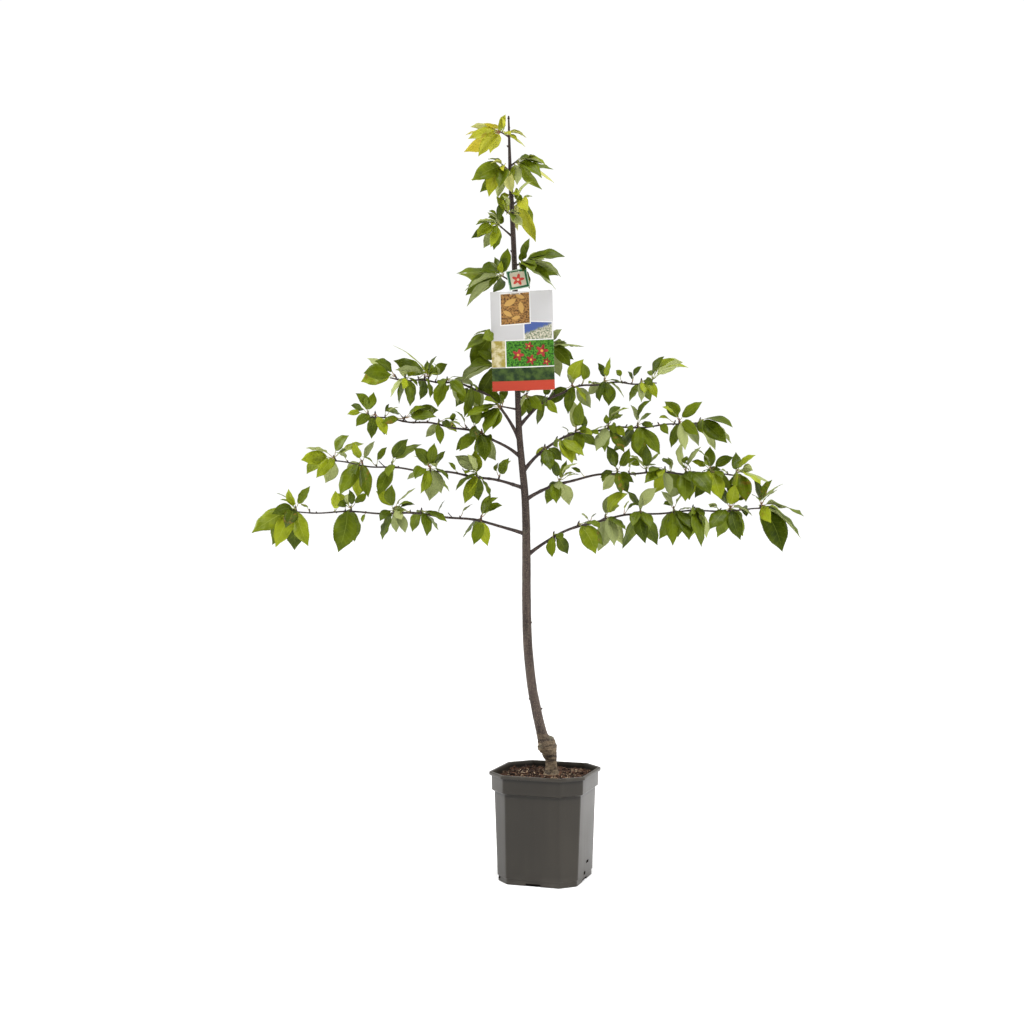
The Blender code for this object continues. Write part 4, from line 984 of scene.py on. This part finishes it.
def makeFoliage():
    masses = {**boughs, **leaderMasses}
    woods, shoots, stalks, heaps = newHeap(), newHeap(), newHeap(), {}
    spurs = {name: growTier(mass, woods) if name in boughs else growStem(mass, shoots)
             for name, mass in masses.items()}
    woody = ["bough_" + name for name in boughs]
    grown = [packedRoom(node) for node in ["trunk", "care_card", "small_tag"] + woody]
    leaves, counts = [], dict(packed=0, clear=0, added=0, dropped=0)
    for name, mass in masses.items():
        tips = packedTips(name)
        for spur in (spur for spur in spurs[name] if spur["key"] < growth["sideKey"]):
            for leaf in growLeaves(mass, spur, tips):
                if hidesCard(leaf):
                    counts["dropped"] += 1
                    continue
                counts["clear"] += fitShape(leaf, oddSprays.get((name, spur["key"]), {}), grown)
                counts["packed"] += 1
                leaves.append((name, spur["key"], leaf))
    for name, mass in masses.items():
        for spur in spurs[name]:
            for leaf in extraLeaves(mass, spur, grown):
                counts["added"] += 1
                leaves.append((name, spur["key"], leaf))
    for name, key, leaf in leaves:
        side = name.split("_")[0].title() if name in boughs else "Leader"
        heap = heaps.setdefault((leafKind(name, key, leaf) + "Leaves", side), newHeap())
        tone = (leaf["rng"].random(), leaf["rng"].random())
        pour(heap, bladeMesh(leaf), tone)
        pour(stalks, stalkMesh(leaf), tone)
    addPiece("boughBark", woods, [barkFinish("boughBarkFinish", 0.022, 0.5, young=True)], "bark",
             [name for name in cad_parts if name.split("_", 1)[-1] in boughs])
    addPiece("shootBark", shoots, [barkFinish("shootBarkFinish", 0.014, 0.06, young=True)], "bark",
             [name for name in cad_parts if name[8:] in leaderMasses])
    addPiece("leafStalks", stalks, [stalkFinish()], "foliage")
    finishes = {kind: [leafFinish(kind, look, under) for under in (False, True)]
                for kind, look in tints.items()}
    for (kind, side), heap in heaps.items():
        thicken(addPiece(kind + side, heap, finishes[kind], "foliage"), blades["thickness"], -1)
    print("leaves:", counts)


makeFoliage()

# Card, tag and their loops; sizes in metres, turns in degrees
labels = named("hole shift width height thickness tilt roll yaw curl slot", (
    ("care_card", 1.3705, 0.014, 0.146, 0.234, 0.001, 1.5, 1.5, 4.0, 0.004, "card"),
    ("small_tag", 1.421, 0.0045, 0.049, 0.049, 0.0008, 13.0, 11.0, 0.0, 0.001, "tag")))
loops = dict(
    drop=0.0065, hole=0.0018, radius=0.0008, slack=0.004, room=0.005, gap=0.0003, steps=64, strand=8)


def labelPlace(label):
    # where a label hangs on the leading shoot, and the half axes of its loop
    leader, radius = trunkAt(label["hole"])
    front = radius + loops["gap"] + label["thickness"] / 2 + loops["drop"] * sin(radians(label["tilt"]))
    backEdge = radius + loops["gap"] + loops["radius"]
    frontEdge = front + label["thickness"] / 2 + loops["radius"] + loops["slack"]
    middle, deep, wide = (backEdge - frontEdge) / 2, (backEdge + frontEdge) / 2, radius + loops["room"]
    return leader, front, middle, deep, wide, wide * sqrt(1 - ((front + middle) / deep) ** 2)


def makeLabel(name, finish):
    label = labels[name]
    leader, front, middle, deep, wide, holeShift = labelPlace(label)
    width, shift, slot = label["width"], label["shift"], label["slot"]
    roll = Matrix.Translation(leader) @ Matrix.Rotation(radians(-label["roll"]), 4, "Y")
    tilt = Matrix.Rotation(radians(-label["tilt"]), 4, "X")

    def place(u, v):
        x = (u - 0.5) * width
        bow = (2 * x / width) ** 2 - (2 * shift / width) ** 2
        y = -label["curl"] * bow - tan(radians(label["yaw"])) * (x + shift)
        return Vector((x + shift, y, loops["drop"] - label["height"] * (1 - v)))

    piece = addPiece(slot + "Printed", wrapGrid(24, 16, place), [finish, labelBack], slot, [name])
    thicken(piece, label["thickness"], 0, 1)
    cutters = []
    for side in (-1, 1):
        cutter = bmesh.new()
        turn = Matrix.Translation((side * holeShift, 0, 0)) @ Matrix.Rotation(pi / 2, 4, "X")
        bmesh.ops.create_cone(cutter, cap_ends=True, segments=20, radius1=loops["hole"],
                              radius2=loops["hole"], depth=0.04, matrix=turn)
        cutters.append(cutter)
    punch(piece, cutters)
    piece.data.transform(roll @ Matrix.Translation((0, -front, 0)) @ tilt)
    piece.data.set_sharp_from_angle(angle=radians(50))
    turns = [tau * k / loops["steps"] for k in range(loops["steps"] + 1)]
    ring = [roll @ Vector((wide * cos(turn), middle + deep * sin(turn), 0)) for turn in turns]
    loop = growLimb(ring, [loops["radius"]] * len(ring), loops["strand"], None, (0, 0, 1))
    addPiece(slot + "Loop", loop, [loopFinish], "loop", [name + "_loop"])


def blossom(x, y, middle, radius):
    # mask of a plain five-petalled flower and of its heart
    dx, dy = x - middle[0], y - middle[1]
    away = x.maths("SQRT", dx * dx + dy * dy)
    edge = radius * (0.74 + 0.26 * x.maths("COSINE", x.maths("ARCTAN2", dy, dx) * 5))
    return (edge - away).smooth(0, radius * 0.08), (radius * 0.22 - away).smooth(0, radius * 0.06)


def leafShape(x, y, middle, length, turn):
    # mask of a plain pointed leaf, drawn as the overlap of two discs
    dx, dy = x - middle[0], y - middle[1]
    along, over = dx * cos(turn) + dy * sin(turn), dy * cos(turn) - dx * sin(turn)
    bow = abs(over) + length * 0.45
    return (length * 0.68 - x.maths("SQRT", along * along + bow * bow)).smooth(0, length * 0.05)


def cardFinish():
    # plain fields with a warm, a cool and a green picture, of generic leaves, slope and blossoms
    finish = Finish("cardPrint", {"Specular IOR Level": 0.4})
    u, v = finish.skin()
    x, y = u * 146, v * 234
    flat = finish.node("CombineXYZ", {"X": x, "Y": y})
    cloud, small = finish.noise(0.05, 4.0, 0.6, flat), finish.noise(0.22, 5.0, 0.65, flat)
    haze = cloud.smooth(0.4, 0.6).mixed((0.62, 0.55, 0.34), (0.34, 0.27, 0.05))
    warm = small.smooth(0.36, 0.6).mixed((0.05, 0.022, 0.012), (0.42, 0.215, 0.06))
    for place, length, turn in (((46, 208), 34, 0.5), ((72, 196), 30, 1.7), ((40, 182), 26, 2.6),
                                ((70, 222), 24, -0.4), ((60, 172), 22, 0.2)):
        warm = leafShape(x, y, place, length, turn).mixed(warm, (0.56, 0.33, 0.095))
    cool = (y - 141 - (x - 100) * 0.35 + (small - 0.5) * 26).smooth(-3, 3).mixed(
        small.smooth(0.4, 0.6).mixed((0.15, 0.19, 0.11), (0.66, 0.61, 0.48)), (0.07, 0.115, 0.33))
    green = small.smooth(0.4, 0.6).mixed((0.012, 0.055, 0.006), (0.085, 0.3, 0.022))
    red = cloud.smooth(0.35, 0.65).mixed((0.17, 0.01, 0.012), (0.42, 0.04, 0.04))
    for place, radius in (((62, 84), 15), ((92, 72), 13), ((118, 92), 16), ((88, 104), 11), ((128, 66), 10)):
        petals, heart = blossom(x, y, place, radius)
        green = heart.mixed(petals.mixed(green, red), (0.64, 0.42, 0.06))
    colour = (y / 234).mixed((0.42, 0.41, 0.41), (0.66, 0.65, 0.65))
    tilted, leaning = y + x * -0.05, y + x * 0.07
    paper, pale = (0.78, 0.77, 0.75), (0.8, 0.79, 0.76)
    for over, low, high, look in (
            (y, (0, 56), (42, 118), haze),
            (leaning, (76, 118), (145, 170), paper), (leaning, (78.5, 120.5), (142.5, 167.5), cool),
            (tilted, (22, 152), (94, 229), pale), (tilted, (24.5, 154.5), (91.5, 226.5), warm),
            (y, (32, 54), (146, 120), paper), (y, (34.5, 56.5), (146, 117.5), green)):
        field = (x > low[0]) * (x < high[0]) * (over > low[1]) * (over < high[1])
        colour = field.mixed(colour, look)
    dark = cloud.smooth(0.38, 0.66).mixed((0.014, 0.034, 0.01), (0.07, 0.12, 0.022))
    finish.feed("Base Color", (y < 23).mixed((y < 54).mixed(colour, dark), (0.48, 0.055, 0.028)))
    finish.feed("Roughness", 0.32 + 0.12 * cloud)
    return finish


def tagFinish():
    # a plain flower in a border
    finish = Finish("tagPrint", {"Roughness": 0.36, "Specular IOR Level": 0.45})
    x, y = (value * 49 for value in finish.skin())
    edge = x.maths("MINIMUM", x.maths("MINIMUM", x, 49 - x), x.maths("MINIMUM", y, 49 - y))
    petals, heart = blossom(x, y, (24.5, 23.5), 15.5)
    colour = (0.5, 0.6, 0.48)
    for mask, look in (
            (edge > 2.2, (0.018, 0.12, 0.05)), (edge > 6.8, (0.55, 0.58, 0.42)),
            (edge > 7.8, (0.62, 0.55, 0.42)), (petals, (0.56, 0.06, 0.045)), (heart, (0.72, 0.6, 0.4))):
        colour = mask.mixed(colour, look)
    finish.feed("Base Color", colour)
    return finish


labelBack = Finish("labelBack", {"Base Color": (0.7, 0.69, 0.66), "Roughness": 0.45})
loopFinish = Finish("looseTwine", {"Base Color": (0.42, 0.38, 0.3), "Roughness": 0.6})
makeLabel("care_card", cardFinish())
makeLabel("small_tag", tagFinish())
print("card and tag hung")

# Studio. A light is its name, place, size and watts; the sky is front, back and what the camera sees.
studio = dict(
    camera=(-0.0785, -3.474, 0.859), lens=51.9, sensor=36.0, target=(-0.03, 0, 0.8), floor=60,
    sky=(0.08, 0.62, 1.04), sun=3.1, sunSpread=32, sunTurn=(16, 0, 0), lights=(
        ("leftLight", (-2.9, 0.2, 2.0), 1.6, 84.0), ("rightLight", (2.9, 0.0, 2.0), 1.6, 74.0),
        ("frontLight", (2.0, -3.3, 2.3), 1.8, 34.0)))


def makeStudio():
    bm = bmesh.new()
    bmesh.ops.create_grid(bm, x_segments=2, y_segments=2, size=studio["floor"])
    floor = addObject("studioFloor", toMesh("studioFloor", bm))
    paint = Finish("floorPaint", {
        "Base Color": (0.95, 0.95, 0.95), "Roughness": 0.9, "Specular IOR Level": 0.1})
    floor.data.materials.append(paint.material)
    world = bpy.data.worlds.new("studioSky")
    world.use_nodes = True
    # as a light the sky is bright behind the tree and dim before it
    shade, (front, back, white) = Shade(world.node_tree), studio["sky"]
    lit = shade.node("TexCoord").parts()[1].smooth(-0.5, 0.6) * (back - front) + front
    strength = lit + shade.node("LightPath") * (white - lit)
    background = world.node_tree.nodes["Background"]
    world.node_tree.links.new(strength.socket, background.inputs["Strength"])
    background.inputs["Color"].default_value = (1, 1, 1, 1)
    scene.world = world
    for name, place, size, power in studio["lights"]:
        light = addObject(name, bpy.data.lights.new(name, "AREA"))
        light.data.energy, light.data.size, light.location = power, size, place
        light.rotation_euler = (Vector(studio["target"]) - Vector(place)).to_track_quat("-Z", "Y").to_euler()
    sun = addObject("roofLight", bpy.data.lights.new("roofLight", "SUN"))
    sun.data.energy, sun.data.angle = studio["sun"], radians(studio["sunSpread"])
    sun.rotation_euler = [radians(turn) for turn in studio["sunTurn"]]
    camera = addObject("photoCamera", bpy.data.cameras.new("photoCamera"))
    camera.data.lens, camera.data.sensor_width, camera.data.clip_end = studio["lens"], studio["sensor"], 200
    camera.location, camera.rotation_euler = studio["camera"], (pi / 2, 0, 0)
    scene.camera = camera
    scene.view_settings.view_transform = "Standard"


makeStudio()
print("studio set")
